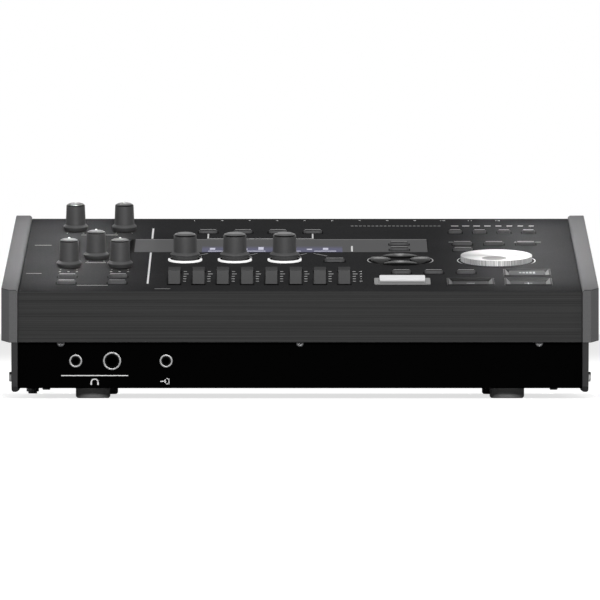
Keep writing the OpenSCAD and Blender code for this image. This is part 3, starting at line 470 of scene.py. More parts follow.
class Print:
    """Collects flat marks in one mesh, printed ones and films of painted shade and highlight, and gives them the
    thickness of the ink. All sizes are in mm.
    """

    def __init__(self, name):
        deselect()
        bpy.ops.mesh.primitive_plane_add(size=1)
        self.piece = bpy.context.object
        self.piece.name = name
        bpy.ops.object.mode_set(mode="EDIT")
        bpy.ops.mesh.delete(type="VERT")

    def bar(self, width, depth, angle, tilt, place):
        """A bar turned in its own plane, tilted about X and put in its place."""
        bpy.ops.mesh.primitive_plane_add(size=mm)
        bpy.ops.transform.resize(value=(width, depth, 1), center_override=(0, 0, 0))
        bpy.ops.transform.rotate(value=-angle, orient_axis="Z", center_override=(0, 0, 0))
        bpy.ops.transform.rotate(value=-tilt, orient_axis="X", center_override=(0, 0, 0))
        bpy.ops.transform.translate(value=place)

    def on_top(self, x, t, width, depth, angle=0.0):
        self.bar(width, depth, angle, slope, on_panel(x, t))

    def on_front(self, x, z, width, height, angle=0.0):
        self.bar(width, height, angle, math.pi / 2, (x * mm, front_wall, z * mm))

    def on_rear(self, x, z, width, height, angle=0.0):
        self.bar(width, height, angle, -math.pi / 2, (x * mm, rear_wall, z * mm))

    def lift(self, rise):
        """Moves the marks so far out of the panel."""
        bpy.ops.mesh.select_all(action="SELECT")
        bpy.ops.transform.translate(value=panel_out * rise * mm)

    def done(self, slot, ink, body="case", thickness=2 * ink_film):
        bpy.ops.mesh.select_all(action="SELECT")
        bpy.ops.object.mode_set(mode="OBJECT")
        only(self.piece)
        film = self.piece.modifiers.new("film", "SOLIDIFY")
        film.thickness = thickness * mm
        film.offset = 0
        bpy.ops.object.modifier_apply(modifier=film.name)
        return dress(self.piece, body, slot, ink)


def number(value, place, turn, height):
    """A plain number as a flat mesh, centred on its place, with its height in mm."""
    figure_share = 1.4
    deselect()
    bpy.ops.object.text_add(location=place, rotation=turn)
    figure = bpy.context.object
    figure.data.body = str(value)
    figure.data.size = height * figure_share * mm
    figure.data.align_x = "CENTER"
    figure.data.align_y = "CENTER"
    figure.data.extrude = ink_film * mm
    figure.data.resolution_u = 4
    bpy.ops.object.convert(target="MESH")
    bpy.ops.object.transform_apply(location=True, rotation=True, scale=True)
    return bpy.context.object


def joined(pieces, name):
    deselect()
    for piece in pieces:
        piece.select_set(True)
    bpy.context.view_layer.objects.active = pieces[0]
    bpy.ops.object.join()
    pieces[0].name = name
    return pieces[0]


# A near-black film laid where shade falls: painted shade round the small keys' holes and at the fader slots' ends.
painted_shade_black = finish_of("painted_shade_black", (0.002, 0.002, 0.002), 0.6, tone=0.25, size=1500, depth=0.02,
                      Specular_IOR_Level=0.002)
white_ink = finish_of("white_ink", (0.72, 0.72, 0.72), 0.6, tone=0.25, size=1500, depth=0.02)
# Grey ink for printed marks, also used for the painted highlight line on each small key.
grey_ink_and_highlight = finish_of("grey_ink_and_highlight", (0.30, 0.30, 0.30), 0.6, tone=0.25, size=1500, depth=0.02)

knobs = ["knob_rear_left", "knob_rear_right", "knob_centre", "knob_front_left", "knob_front_right"]
encoders = [f"encoder_knob_{i + 1}" for i in range(3)]
faders = [f"fader_{i + 1}" for i in range(8)]
upper_sockets = [mounts[f"rear_upper_socket_{i + 1}"] for i in range(12)]
lower_sockets = [mounts[f"rear_lower_socket_{i + 1}"] for i in range(6)]
din_sockets = [mounts[f"din_socket_{i + 1}"] for i in range(2)]

# White lines: a divider beside the knobs, a bar on the window, a bracket behind it and bold ticks
divider_x, divider_w, bold_w, fine_w = -88.4, 1.1, 0.9, 0.7
bracket_left, bracket_right, bracket_t, leg_t, leg_l = -55.0, 7.6, 184.8, 193.5, 18
tick_row_t, bold_tick_x, bold_tick_pitch = 231, 93.5, 6.6
bold_tick_w, bold_tick_taper, bold_tick_l = 4.4, 0.2, 1.5
lines = Print("panel_lines")
for x, t, length in ((divider_x, 80, 110), (divider_x, 203, 38), (30.9, 148, 20)):
    lines.on_top(x, t, divider_w, length)
for x in (bracket_left, bracket_right):
    lines.on_top(x, leg_t, bold_w, leg_l)
lines.on_top((bracket_left + bracket_right) / 2, bracket_t, bracket_right - bracket_left, fine_w)
for i in range(8):
    width = bold_tick_w - bold_tick_taper * i
    lines.on_top(bold_tick_x + bold_tick_pitch * i, tick_row_t, width, bold_tick_l)
lines.done("panel", white_ink)

# Front wall: a line that joins two sockets over a plain headset, and a plain arrow into a box below the third
rule_z, rule_l, rule_h, stroke = 13.2, 38.6, 0.5, 0.45
headset_x, headset_z, headset_r, band_l = -118.6, 9.2, 2, 0.85
ear_out, ear_drop, ear_w, ear_h = 1.95, 0.5, 0.9, 1.7
arrow_tip, arrow_z, arrow_l = mounts["front_mini_socket_2"].x / mm, 9.9, 3.4
head_back, head_out, head_l = 0.7, 0.55, 1.5
rail_on, rail_out, rail_l, box_end, box_h = 0.9, 1.5, 1.6, 1.6, 3.4
front_marks = Print("front_wall_marks")
front_marks.on_front(headset_x, rule_z, rule_l, rule_h)
for step in range(-4, 5):
    angle = math.radians(20 * step)
    front_marks.on_front(headset_x + headset_r * math.sin(angle), headset_z + headset_r * math.cos(angle),
                         band_l, rule_h, angle)
for side in (-1, 1):
    front_marks.on_front(headset_x + side * ear_out, headset_z - ear_drop, ear_w, ear_h)
front_marks.on_front(arrow_tip - arrow_l / 2, arrow_z, arrow_l, rule_h)
for side in (-1, 1):
    front_marks.on_front(arrow_tip - head_back, arrow_z + side * head_out, head_l, stroke, side * math.pi / 4)
    front_marks.on_front(arrow_tip + rail_on, arrow_z + side * rail_out, rail_l, stroke)
front_marks.on_front(arrow_tip + box_end, arrow_z, stroke, box_h)
front_marks.done("chassis", white_ink)

# Plain numbers: one over each upper rear socket, 0 to 4 beside the last fader, and one beside each encoder
figure_turn, figure_h, small_figure_h = (slope, 0, 0), 2.6, 2.4
scale_x, scale_t, scale_pitch = 35.5, 34, 8.4
socket_figure_t, encoder_figure_t, encoder_figure_right = 251, 118, 9.4
figures = [number(i + 1, on_panel(socket.x / mm, socket_figure_t), figure_turn, figure_h)
           for i, socket in enumerate(upper_sockets)]
figures += [number(i, on_panel(scale_x, scale_t + scale_pitch * i), figure_turn, figure_h) for i in range(5)]
figures += [number(i + 1, on_panel(hub_of(encoder)[0] + encoder_figure_right, encoder_figure_t), figure_turn,
                   small_figure_h) for i, encoder in enumerate(encoders)]
dress(joined(figures, "panel_numbers"), "case", "panel", white_ink)

# Grey marks: a scale beside each fader, ticks round the knobs, short lines, a fine row and leader lines
fader_steps = (34, 42.4, 50.8, 59.1, 67.5)
bold_step, bold_step_right, bold_step_w = 3, 0.6, 2.8
step_right, step_w, step_l = 5.9, 1.8, 2
scales = Print("fader_scales")
for fader in faders:
    x = top_of(fader)[0] + step_right
    for step, t in enumerate(fader_steps):
        if step == bold_step:
            scales.on_top(x + bold_step_right, t, bold_step_w, step_l)
        else:
            scales.on_top(x, t, step_w, step_l)
tick_r, tick_w, tick_l = 9.6, 0.5, 1.5
for knob in knobs:
    x, t = hub_of(knob)
    for angle in (math.radians(-150), 0.0, math.radians(150)):
        scales.on_top(x + tick_r * math.sin(angle), t + tick_r * math.cos(angle), tick_w, tick_l, -angle)
knobs_x = hub_of("knob_centre")[0]
for x, t, width in ((knobs_x, 20, 18), (knobs_x, 98.5, 12), (-79.5, 8.5, 9), (knobs_x, 198, 22),
                    (-153, 160.6, 10), (-155.5, 61, 9), (94.9, 172, 12.2), (135.9, 172, 16)):
    scales.on_top(x, t, width, bold_w)
fine_tick_x, fine_tick_pitch, fine_tick_w, fine_tick_l = 31.5, 2.5, 1.7, 1.3
for i in range(22):
    scales.on_top(fine_tick_x + fine_tick_pitch * i, tick_row_t, fine_tick_w, fine_tick_l)
dot_pitch, dot_t, dot_w, dot_l = 5, 67, 1.2, 1.6
for knob in ("knob_front_left", "knob_front_right"):
    for shift in (-dot_pitch, 0, dot_pitch):
        scales.on_top(hub_of(knob)[0] + shift, dot_t, dot_w, dot_l)
leader_right, leader_t, leader_l, leader_turn = 10.6, 128, 8.5, math.radians(54)
last_leader_x, last_leader_t, last_leader_l, last_leader_turn = 12, 126.9, 12.1, math.radians(-49)
for encoder in encoders:
    scales.on_top(hub_of(encoder)[0] + leader_right, leader_t, leader_l, fine_w, leader_turn)
scales.on_top(last_leader_x, last_leader_t, last_leader_l, fine_w, last_leader_turn)
scales.done("panel", grey_ink_and_highlight)

# Rear wall: numbered sockets under plain lines, and plain signs over the square, round and rocker openings
rear_turn, rear_figure_h, figure_up, din_figure_up = (math.pi / 2, 0, math.pi), 3, 10.5, 13.5
rear_figures = [number(first + i, (socket.x, rear_wall, socket.z + up * mm), rear_turn, rear_figure_h)
                for row, first, up in ((upper_sockets, 1, figure_up), (lower_sockets, 13, figure_up),
                                       (din_sockets, 1, din_figure_up))
                for i, socket in enumerate(row)]
dress(joined(rear_figures, "rear_wall_numbers"), "case", "chassis", white_ink)
square_x, inlet_x = mounts["usb_socket"].x / mm, mounts["power_inlet"].x / mm
rocker_x = joint_of["power_rocker"]["pos_m"][0] / mm
sign_z, square_w, square_h, polarity_out, polarity_l = 48, 6, 4, 4, 4
rocker_sign_z, rocker_sign_w, rocker_sign_h = 52.5, 0.6, 3.4
rear_lines = Print("rear_wall_lines")
for x, z, length in ((27.8, 87, 195), (-22.2, 53, 95), (67, 56, 46)):
    rear_lines.on_rear(x, z, length, rule_h)
for side in (-1, 1):
    rear_lines.on_rear(square_x + side * square_w / 2, sign_z, rule_h, square_h)
    rear_lines.on_rear(square_x, sign_z + side * square_h / 2, square_w, rule_h)
    rear_lines.on_rear(inlet_x + side * polarity_out, sign_z, polarity_l, rule_h)
rear_lines.on_rear(inlet_x + polarity_out, sign_z, rule_h, polarity_l)
rear_lines.on_rear(rocker_x, rocker_sign_z, rocker_sign_w, rocker_sign_h)
rear_lines.done("chassis", white_ink)

# Display window: a smoked acrylic pane, flush in the panel, with the display's cells showing through it.
# The lit field is pale violet, strongest towards the user, and carries plain boxes and level bars.
# A black band on the pane's left is painted shade, for the dark gap there, and its rear edge is painted paler, a
# painted highlight.
pane, nodes, links, shader = blank("smoked_pane")
shader.inputs["Specular IOR Level"].default_value = 0.0015
where, axes = object_axes(nodes, links)


def inside(axis, low, high, fade):
    """1 between the two limits in mm, falling to 0 over the fade."""
    rising = map_range(nodes, links, axes[axis], ((low - fade) * mm, low * mm), eased=True)
    falling = map_range(nodes, links, axes[axis], ((high + fade) * mm, high * mm), eased=True)
    return calculator(nodes, links)("MULTIPLY", rising, falling)


# Each stretch of the pane is given by its two limits and its fade
field_across, field_back = (-58, 25, 0.4), (5.5, 14, 14)
rear_edge, left_gap = (48.5, 60, 0.5), (-120, -98.4, 0.2)
smoke, violet, painted_edge_highlight, painted_gap_shade = (0.098, 0.098, 0.1), (0.14, 0.14, 0.22), (0.2,) * 3, (0.002,) * 3
field = calculator(nodes, links)("MULTIPLY", inside("X", *field_across), inside("Y", *field_back))
colour = blend(nodes, links, field, smoke, violet)
colour = blend(nodes, links, inside("Y", *rear_edge), colour, painted_edge_highlight)
colour = blend(nodes, links, inside("X", *left_gap), colour, painted_gap_shade)
links.new(colour, shader.inputs["Base Color"])
mottle(nodes, links, shader, where, 900, 0.26, 0.34)
refine("display_window", "window_pane", 0.2, "case", "window", pane)

violet_cells = finish_of("violet_cells", (0.62, 0.62, 0.78), 0.4, tone=0.2, size=1500, depth=0.02)
cell_x, cell_pitch, cell_t, cell_w, cell_l = -48, 21, 139.5, 13, 2.2
bar_x, bar_pitch, bar_t, bar_w = -52, 9.6, 144, 3.2
bar_heights = (7, 9, 5, 10, 6, 8, 4, 7)
cells = Print("display_cells")
for i in range(4):
    cells.on_top(cell_x + cell_pitch * i, cell_t, cell_w, cell_l)
for i, height in enumerate(bar_heights):
    cells.on_top(bar_x + bar_pitch * i, bar_t + height / 2, bar_w, height)
cells.done("window", violet_cells)

# Bezels: the encoder rings, the thin rims of the dial and cursor keys, and the key frames.
# The rings are milky, with their fronts painted bright and faintly glowing, which is painted light.
# The rims are polished, with a painted reflection at their left and right ends, and the frames are satin
# mouldings, with the trays' slanted side walls painted lighter as painted light.
dark_frame = finish_of("dark_frame", (0.014, 0.014, 0.014), 0.4, tone=0.2, size=1500, depth=0.05,
                       Specular_IOR_Level=0.02)
pale_frame = finish_of("pale_frame", (0.24, 0.24, 0.24), 0.45, tone=0.2, size=1500, depth=0.05,
                       Specular_IOR_Level=0.1)
# The trays' slanted side walls are painted lighter than the frames, which is painted light.
tray_wall_painted_light = finish_of("tray_wall_painted_light", (0.14, 0.14, 0.14), 0.4, tone=0.2, size=1500, depth=0.05,
                      Specular_IOR_Level=0.02)
dial_place = hub_of("jog_dial")
cursor_place = (top_of("cursor_up")[0], top_of("cursor_left")[1])
dial_rim_r, cursor_rim_r, rim_dull, rim_bright = 23.1, 19.5, 0.84, 0.97
ring_y, ring_dull, ring_lit = joint_of["encoder_knob_1"]["pos_m"][1] / mm, 1.5, 0.8
# Each ring is painted bright and glowing towards the user and dark behind: painted light.
ring_painted_light = graded("ring_painted_light", "Y", ring_y + ring_dull, ring_y - ring_lit, 0.02, 0.85, glow=0.45)
# The rims are painted bright only towards their left and right ends, which is a painted reflection.
rims = [(place, sign, graded(f"rim_painted_reflection_{side}{i}", "X", place[0] + sign * reach * rim_dull,
                             place[0] + sign * reach * rim_bright, 0.012, 0.6))
        for i, (place, reach) in enumerate(((dial_place, dial_rim_r), (cursor_place, cursor_rim_r)))
        for side, sign in (("left", -1), ("right", 1))]


def near(places, reach):
    """A test for points that lie within a reach, in mm, of one of the places on the panel."""
    spots = [on_panel(*place) for place in places]
    return lambda point: any(abs(point.x - spot.x) < reach * mm and abs(point.y - spot.y) < reach * mm
                             for spot in spots)


# The thin rims keep their sharp edges, and all others are rounded
rim_zone, ring_zone, lit_key_zone, tray_zone = 25, 12, 18, 16
at_rims = near([dial_place, cursor_place], rim_zone)
bezels = solid_of("bezel_frames", "key_and_ring_frames")
bpy.ops.object.mode_set(mode="EDIT")
bpy.ops.mesh.select_mode(type="EDGE")
bpy.ops.mesh.select_all(action="DESELECT")
bpy.ops.mesh.edges_select_sharp(sharpness=math.radians(32))
bpy.ops.object.mode_set(mode="OBJECT")
corners = bezels.data.vertices
for edge in bezels.data.edges:
    if at_rims(corners[edge.vertices[0]].co):
        edge.select = False
bpy.ops.object.mode_set(mode="EDIT")
bpy.ops.mesh.bevel(offset=0.2 * mm, segments=2)
bpy.ops.object.mode_set(mode="OBJECT")
soften(bezels, 0.02, angle=50)
dress(bezels, "case", "bezel", dark_frame, ring_painted_light, pale_frame, *(rim for _, _, rim in rims), tray_wall_painted_light)
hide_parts("bezel_frames")
at_rings = near([hub_of(encoder) for encoder in encoders], ring_zone)
at_lit_key = near([top_of("enter_key")[:2]], lit_key_zone)
at_trays = near([top_of(key)[:2] for key in ("minus_key", "plus_key", "preview_key")], tray_zone)
paint_faces(bezels, ring_painted_light, lambda centre, normal: at_rings(centre))
paint_faces(bezels, pale_frame, lambda centre, normal: at_lit_key(centre))
paint_faces(bezels, tray_wall_painted_light, lambda centre, normal: at_trays(centre) and 0.3 < abs(normal.x) < 0.95)
for place, sign, rim in rims:
    at_this_rim = near([place], rim_zone)
    paint_faces(bezels, rim,
                lambda centre, normal: at_this_rim(centre) and sign * (centre.x - place[0] * mm) > 0)

# Knobs: five satin black pointer knobs pushed on their shafts, with a flared skirt and a domed top.
# A white pointer is let into the top of each, and three larger knobs turn endlessly inside the lit rings.
# Their sides shine softly, their tops are shinier, and the shoulder between the two is painted dark, as painted
# shade.
knob_black = finish_of("knob_black", (0.095, 0.095, 0.096), 0.56, tone=0.25, size=1700, depth=0.06,
                       Metallic=0.5, Specular_Tint=(0.4, 0.4, 0.4, 1), Specular_IOR_Level=0.02)
crown_painted_shade = finish_of("crown_painted_shade", (0.008, 0.008, 0.008), 0.4, tone=0.25, size=1700, depth=0.06,
                        Specular_IOR_Level=0.03)
flat_black = finish_of("flat_black", (0.09, 0.09, 0.091), 0.34, tone=0.25, size=1700, depth=0.06,
                       Specular_IOR_Level=0.17)
crown_low, side_lean, top_lean = 10, 0.2, 0.8
for node in knobs + encoders:
    knob = refine(node, node + "_cap", 0.08, node, "knob", knob_black, crown_painted_shade, flat_black,
                  angle=20, smooth=15)
    paint_faces(knob, flat_black, lambda centre, normal: above(centre) > crown_low
                and normal.dot(panel_out) > top_lean)
    # The shoulder faces are painted darker, as painted shade.
    paint_faces(knob, crown_painted_shade, lambda centre, normal: above(centre) > crown_low
                and side_lean < normal.dot(panel_out) < top_lean)
pointer_w, pointer_l, pointer_h, pointer_back = 1.2, 3.4, 0.9, 2
for node in knobs:
    x, t = hub_of(node)
    pointer = Print(node + "_pointer")
    pointer.on_top(x, t + pointer_back, pointer_w, pointer_l)
    pointer.lift(top_of(node)[4])
    pointer.done("knob", white_ink, body=node, thickness=pointer_h)

# Jog dial: a spun aluminium wheel with a finger dimple, a knurled rim and a thin smooth lip at each edge.
# It is turned in one piece, so its top shows fine concentric marks.
dial_r, dial_low, dial_h, rim_teeth = 21.0, 0.15, 3.3, 144
dimple_x, dimple_y, dimple_r, dimple_depth = -1.4, -9.6, 7.5, 1.3
deselect()
bpy.ops.mesh.primitive_cylinder_add(vertices=rim_teeth, radius=dial_r * mm, depth=(dial_h - dial_low) * mm,
                                    location=(0, 0, (dial_h + dial_low) / 2 * mm))
dial = bpy.context.object
dial.name = "dial_wheel"
bpy.ops.object.transform_apply(location=True, rotation=True, scale=True)
lip_w, ledge_w, ledge_drop, rim_lip, groove_in, groove_depth = 0.35, 0.9, 0.12, 0.3, 0.12, 0.35
bpy.ops.object.mode_set(mode="EDIT")
bpy.ops.mesh.select_mode(type="FACE")
pick_faces(dial, lambda face: face.normal.z > facing)
bpy.ops.mesh.inset(thickness=lip_w * mm, depth=0)
bpy.ops.mesh.inset(thickness=ledge_w * mm, depth=-ledge_drop * mm)
pick_faces(dial, lambda face: abs(face.normal.z) < 0.1)
bpy.ops.mesh.inset(thickness=rim_lip * mm, use_boundary=True)
tooth_angle, tooth_least = 2 * math.pi / rim_teeth, 1.5 * mm ** 2


def is_groove(face):
    """Every second tall face of the rim."""
    tooth = round(math.atan2(face.center.y, face.center.x) / tooth_angle + 0.5)
    return abs(face.normal.z) < 0.1 and face.area > tooth_least and tooth % 2 == 0


pick_faces(dial, is_groove)
bpy.ops.mesh.inset(thickness=groove_in * mm, depth=-groove_depth * mm, use_individual=True)
bpy.ops.object.mode_set(mode="OBJECT")
ball_r = (dimple_r ** 2 + dimple_depth ** 2) / (2 * dimple_depth)
ball_place = (dimple_x * mm, dimple_y * mm, (dial_h + ball_r - dimple_depth) * mm)
bpy.ops.mesh.primitive_uv_sphere_add(segments=128, ring_count=96, radius=ball_r * mm, location=ball_place)
ball = bpy.context.object
only(dial)
hollow = dial.modifiers.new("dimple", "BOOLEAN")
hollow.operation = "DIFFERENCE"
hollow.object = ball
bpy.ops.object.modifier_apply(modifier=hollow.name)
bpy.data.objects.remove(ball)
only(dial)
dial.rotation_euler = (slope, 0, 0)
dial.location = on_panel(*dial_place)
bpy.ops.object.transform_apply(location=True, rotation=True, scale=True)
bpy.ops.object.shade_smooth_by_angle(angle=math.radians(25))


def polar(nodes, links, centre):
    """A point's way across and back from a centre on the panel, and its angle and reach."""
    calc = calculator(nodes, links)
    where, centred = nodes.new("ShaderNodeTexCoord"), nodes.new("ShaderNodeVectorMath")
    centred.operation = "SUBTRACT"
    centred.inputs[1].default_value = on_panel(*centre)
    links.new(where.outputs["Object"], centred.inputs[0])
    level = nodes.new("ShaderNodeVectorRotate")
    level.rotation_type = "X_AXIS"
    level.inputs["Angle"].default_value = -slope
    links.new(centred.outputs[0], level.inputs["Vector"])
    axes = nodes.new("ShaderNodeSeparateXYZ")
    links.new(level.outputs[0], axes.inputs[0])
    x, y = axes.outputs["X"], axes.outputs["Y"]
    reach = calc("SQRT", calc("ADD", calc("MULTIPLY", x, x), calc("MULTIPLY", y, y)))
    return calc, x, y, calc("ARCTAN2", y, x), reach


def grey_colour(nodes, links, shader, value):
    """Feeds one value to all three channels of a shader's colour."""
    tint = nodes.new("ShaderNodeCombineColor")
    for channel in tint.inputs[:3]:
        links.new(value, channel)
    links.new(tint.outputs[0], shader.inputs["Base Color"])


def bare_metal(name):
    """The start of a dial finish: pale metal, with its point read from the dial's centre."""
    material, nodes, links, shader = blank(name)
    shader.inputs["Metallic"].default_value = 0.25
    shader.inputs["Specular IOR Level"].default_value = 0.1
    return material, nodes, links, shader, polar(nodes, links, dial_place)


def turning_marks(nodes, links, shader, along, scale):
    """Fine marks along one measure, which also vary the roughness."""
    marks = nodes.new("ShaderNodeTexNoise")
    marks.noise_dimensions = "1D"
    marks.inputs["Scale"].default_value = scale
    marks.inputs["Detail"].default_value = 4
    links.new(along, marks.inputs["W"])
    links.new(map_range(nodes, links, marks.outputs["Fac"], to_range=(0.36, 0.5)), shader.inputs["Roughness"])
    return marks.outputs["Fac"]


def spun_top():
    """Concentric marks, with two darker wedges across as a painted reflection and a dimple painted darker as
    painted shade, as the photograph shows them.
    """
    base, wedge_reflection_dark, dimple_shade, mark_depth = 0.57, 0.24, 0.4, 0.12
    material, nodes, links, shader, (calc, x, y, angle, reach) = bare_metal("spun_top")
    marks = turning_marks(nodes, links, shader, reach, 2600)
    wedge = calc("POWER", calc("ABSOLUTE", calc("COSINE", angle)), 10)
    off_x, off_y = calc("SUBTRACT", x, dimple_x * mm), calc("SUBTRACT", y, dimple_y * mm)
    away = calc("SQRT", calc("ADD", calc("MULTIPLY", off_x, off_x), calc("MULTIPLY", off_y, off_y)))
    in_dimple = calc("LESS_THAN", away, (dimple_r - 0.1) * mm)
    value = calc("ADD", calc("MULTIPLY", calc("SUBTRACT", marks, 0.5), mark_depth), base)
    value = calc("SUBTRACT", value, calc("MULTIPLY", wedge, wedge_reflection_dark))
    value = calc("SUBTRACT", value, calc("MULTIPLY", in_dimple, dimple_shade))
    grey_colour(nodes, links, shader, value)
    return material


def knurled_rim():
    """Upright streaks on the knurl, painted as its reflection and strongest towards the user."""
    base, glint_all_round, glint_in_front = 0.38, 0.6, 1.6
    material, nodes, links, shader, (calc, _, _, angle, _) = bare_metal("knurled_rim")
    marks = turning_marks(nodes, links, shader, angle, 24)
    front = calc("POWER", calc("MAXIMUM", calc("MULTIPLY", calc("SINE", angle), -1), 0), 14)
    strength = calc("ADD", calc("MULTIPLY", front, glint_in_front), glint_all_round)
    value = calc("ADD", calc("MULTIPLY", calc("SUBTRACT", marks, 0.3), strength), base)
    grey_colour(nodes, links, shader, value)
    return material


top_metal, rim_metal = spun_top(), knurled_rim()
dress(dial, "jog_dial", "dial", top_metal, rim_metal)
paint_faces(dial, rim_metal, lambda centre, normal: abs(normal.dot(panel_out)) < 0.5)
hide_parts("jog_dial")

# Faders: eight moulded caps on flat steel levers, each in an open slot of the panel.
# The caps are satin grey, with their tops painted darker as painted shade, and slide away from the user.
# A black print in front of each slot is painted shade, for the dark end that the photograph shows there.
cap_grey = finish_of("fader_grey", (0.1, 0.1, 0.101), 0.5, tone=0.25, size=1600, depth=0.08,
                     Specular_IOR_Level=0.02)
cap_top_shade = finish_of("fader_top_shade", (0.055, 0.055, 0.056), 0.5, tone=0.25, size=1600, depth=0.08,
                     Specular_IOR_Level=0.005)
slot_front, slot_end_w, slot_end_l, slot_end_gap, shaded_top_low = 1.7 * math.cos(slope), 8.4, 4, 0.3, 2
slot_end_shade = Print("fader_slot_ends")
for fader in faders:
    x, t, _, depth, _ = top_of(fader)
    slot_end_shade.on_top(x, t - depth / 2 - slot_front - slot_end_gap - slot_end_l / 2, slot_end_w, slot_end_l)
slot_end_shade.done("panel", painted_shade_black)
for fader in faders:
    cap = refine(fader, fader + "_cap", 0.2, fader, "fader", cap_grey, cap_top_shade)
    paint_faces(cap, cap_top_shade,
                lambda centre, normal: normal.dot(panel_out) > facing and above(centre) > shaded_top_low)

# Small keys: moulded pills in the panel's holes, each with a thin light line on its rear edge, a painted
# highlight.
# Their fronts are satin grey, their tops are painted darker, and black films edge the front and sides of each
# hole: painted shade.
key_grey = finish_of("key_grey", (0.115, 0.115, 0.117), 0.45, tone=0.2, size=1600, depth=0.06,
                     Specular_IOR_Level=0.01)
key_top_painted_shade = finish_of("key_top_painted_shade", (0.035, 0.035, 0.036), 0.45, tone=0.2, size=1600, depth=0.06,
                    Specular_IOR_Level=0.002)
key_counts = {"function_key": 4, "page_key": 2, "edit_key": 3, "menu_key": 4, "kit_key": 4, "track_key": 4}
small_keys = [f"{name}_{i + 1}" for name, count in key_counts.items() for i in range(count)] + ["exit_key"]
edge_front, edge_side, edge_gap = 1.6, 0.6, 0.3
# Black films at the front and sides of each key hole are painted shade.
edges = Print("key_hole_shade")
for node in small_keys:
    x, t, width, depth, _ = top_of(node)
    edges.on_top(x, t - depth / 2 - edge_gap - edge_front / 2, width + 3 * edge_side, edge_front)
    for side in (-1, 1):
        edges.on_top(x + side * (width / 2 + edge_gap + edge_side / 2), t, edge_side, depth)
edges.done("panel", painted_shade_black)
line_l, line_in, line_short, top_low = 1.3, 0.45, 1.4, 0.1
for node in small_keys:
    key = refine(node, node + "_cap", 0.3, node, "key", key_grey, key_top_painted_shade, segments=3)
    # The tops are painted darker than the fronts, as painted shade.
    paint_faces(key, key_top_painted_shade,
                lambda centre, normal: normal.dot(panel_out) > facing and above(centre) > top_low)
    x, t, width, depth, rise = top_of(node)
    # A grey film on the rear edge of each key is a painted highlight.
    line = Print(node + "_line")
    line.on_top(x, t + depth / 2 - line_in - line_l / 2, width - line_short, line_l)
    line.lift(rise)
    line.done("key", grey_ink_and_highlight, body=node)

# Tray keys: three wide keys in framed trays, marked with a plain minus, a plus and five rising bars.
# They are moulded in a darker satin grey than the small keys.
satin_key = finish_of("satin_key", (0.045, 0.045, 0.046), 0.4, tone=0.2, size=1600, depth=0.06,
                      Specular_IOR_Level=0.01)
sign_w, sign_l, arm_l = 0.7, 4.7, 2
level_pitch, level_w, level_l, level_growth = 2, 1.4, 3.4, 0.8
for node in ("minus_key", "plus_key", "preview_key"):
    refine(node, node + "_cap", 0.3, node, "key", satin_key, segments=3)
    x, t, _, _, rise = top_of(node)
    mark = Print(node + "_mark")
    if node == "preview_key":
        for step in range(5):
            mark.on_top(x + level_pitch * (step - 2), t, level_w, level_l + level_growth * step)
    else:
        mark.on_top(x, t, sign_l, sign_w)
    if node == "plus_key":
        for side in (1, -1):
            mark.on_top(x, t + side * (sign_w + arm_l) / 2, sign_w, arm_l)
    mark.lift(rise)
    mark.done("key", grey_ink_and_highlight if node == "preview_key" else white_ink, body=node)

# Cursor keys: four moulded lenses in glossy black around one centre, each pressed down on its own switch.
# A paler patch on each crest stands in for the reflection that the photograph shows there.
lens_black, nodes, links, shader = blank("lens_black")
shader.inputs["Specular IOR Level"].default_value = 0.012
calc, _, _, angle, reach = polar(nodes, links, cursor_place)
lens_dark, crest_pale, crest_r, crest_reach = 0.008, 0.3, 12, 4.5
lobe = calc("POWER", calc("MAXIMUM", calc("COSINE", calc("MULTIPLY", angle, 4)), 0), 4)
off_crest = calc("MULTIPLY", calc("SUBTRACT", reach, crest_r * mm), 1 / (crest_reach * mm))
crest = calc("MAXIMUM", calc("SUBTRACT", 1, calc("MULTIPLY", off_crest, off_crest)), 0)
grey_colour(nodes, links, shader,
            calc("ADD", calc("MULTIPLY", calc("MULTIPLY", lobe, crest), crest_pale), lens_dark))
mottle(nodes, links, shader, object_axes(nodes, links)[0], 160, 0.16, 0.3)
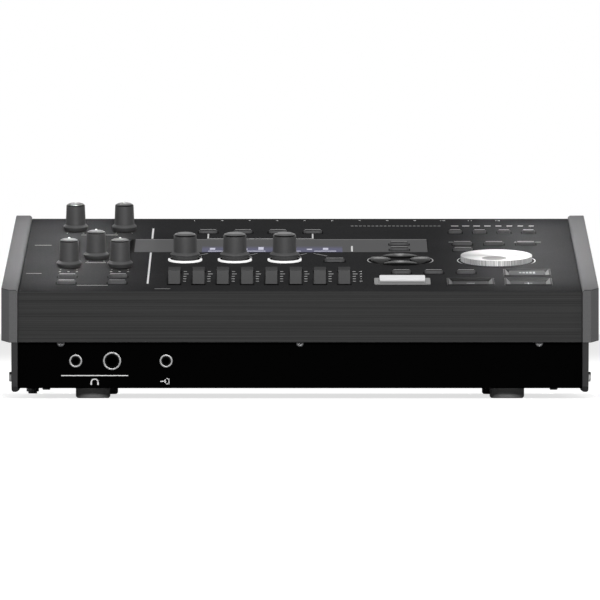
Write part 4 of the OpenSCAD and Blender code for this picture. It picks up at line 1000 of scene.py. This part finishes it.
for node in ("cursor_right", "cursor_up", "cursor_left", "cursor_down"):
    refine(node, node + "_lens", 0.3, node, "cursor", lens_black, segments=3)

# Lit key: a cap of milky white acrylic that stands out of a pale framed tray, lit from inside.
# Its front is painted darker towards the tray, which is painted shade, as the photograph shows it.
milky = finish_of("milky_white", (0.8, 0.8, 0.81), 0.35, tone=0.06, size=700, depth=0.02,
                  Emission_Color=(1, 1, 1, 1), Emission_Strength=0.05)
front_low, front_high, front_lean = 67.2, 68.5, 0.6
enter_front_painted_shade = graded("enter_front_painted_shade", "Z", front_low, front_high, 0.22, 0.8)
enter = refine("enter_key", "enter_key_cap", 0.5, "enter_key", "lit_key", milky, enter_front_painted_shade, segments=4)
paint_faces(enter, enter_front_painted_shade, lambda centre, normal: normal.y < -front_lean)

# Cheeks: two finely grained grey mouldings that close the ends of the case and are screwed to its sides.
# Each has a thick upper band along the panel, and a thinner, darker skirt below it.
cheek_grey = finish_of("cheek_grey", (0.102, 0.102, 0.104), 0.55, tone=0.3, size=1500, depth=0.12,
                       Specular_IOR_Level=0.09)
skirt_grey_and_shade = finish_of("skirt_grey_and_shade", (0.03, 0.03, 0.031), 0.6, tone=0.3, size=1500, depth=0.12,
                       Specular_IOR_Level=0.1)
band_depth, edge_lean = 29.3, 0.25
band_low = fold_z - band_depth * mm
for node in ("left_cheek", "right_cheek"):
    cheek = refine(node, node + "_moulding", 0.35, "case", "cheek", cheek_grey, skirt_grey_and_shade, segments=3)
    paint_faces(cheek, skirt_grey_and_shade,
                lambda centre, normal: centre.z < band_low + (centre.y - fold_y) * math.tan(slope))
    # The chamfers between the top and the front are painted darker too, which is painted shade.
    paint_faces(cheek, skirt_grey_and_shade, lambda centre, normal: normal.y < -edge_lean and normal.z > edge_lean)

# Power rocker: a glossy black moulded paddle that tilts in its frame in the rear wall.
# Its two pins turn in the sides of that frame, and it carries no mark of its own.
rocker_black = finish_of("rocker_black", (0.012, 0.012, 0.012), 0.3, tone=0.2, size=1200, depth=0.03)
refine("power_rocker", "rocker_paddle", 0.3, "power_rocker", "rocker", rocker_black, segments=3)
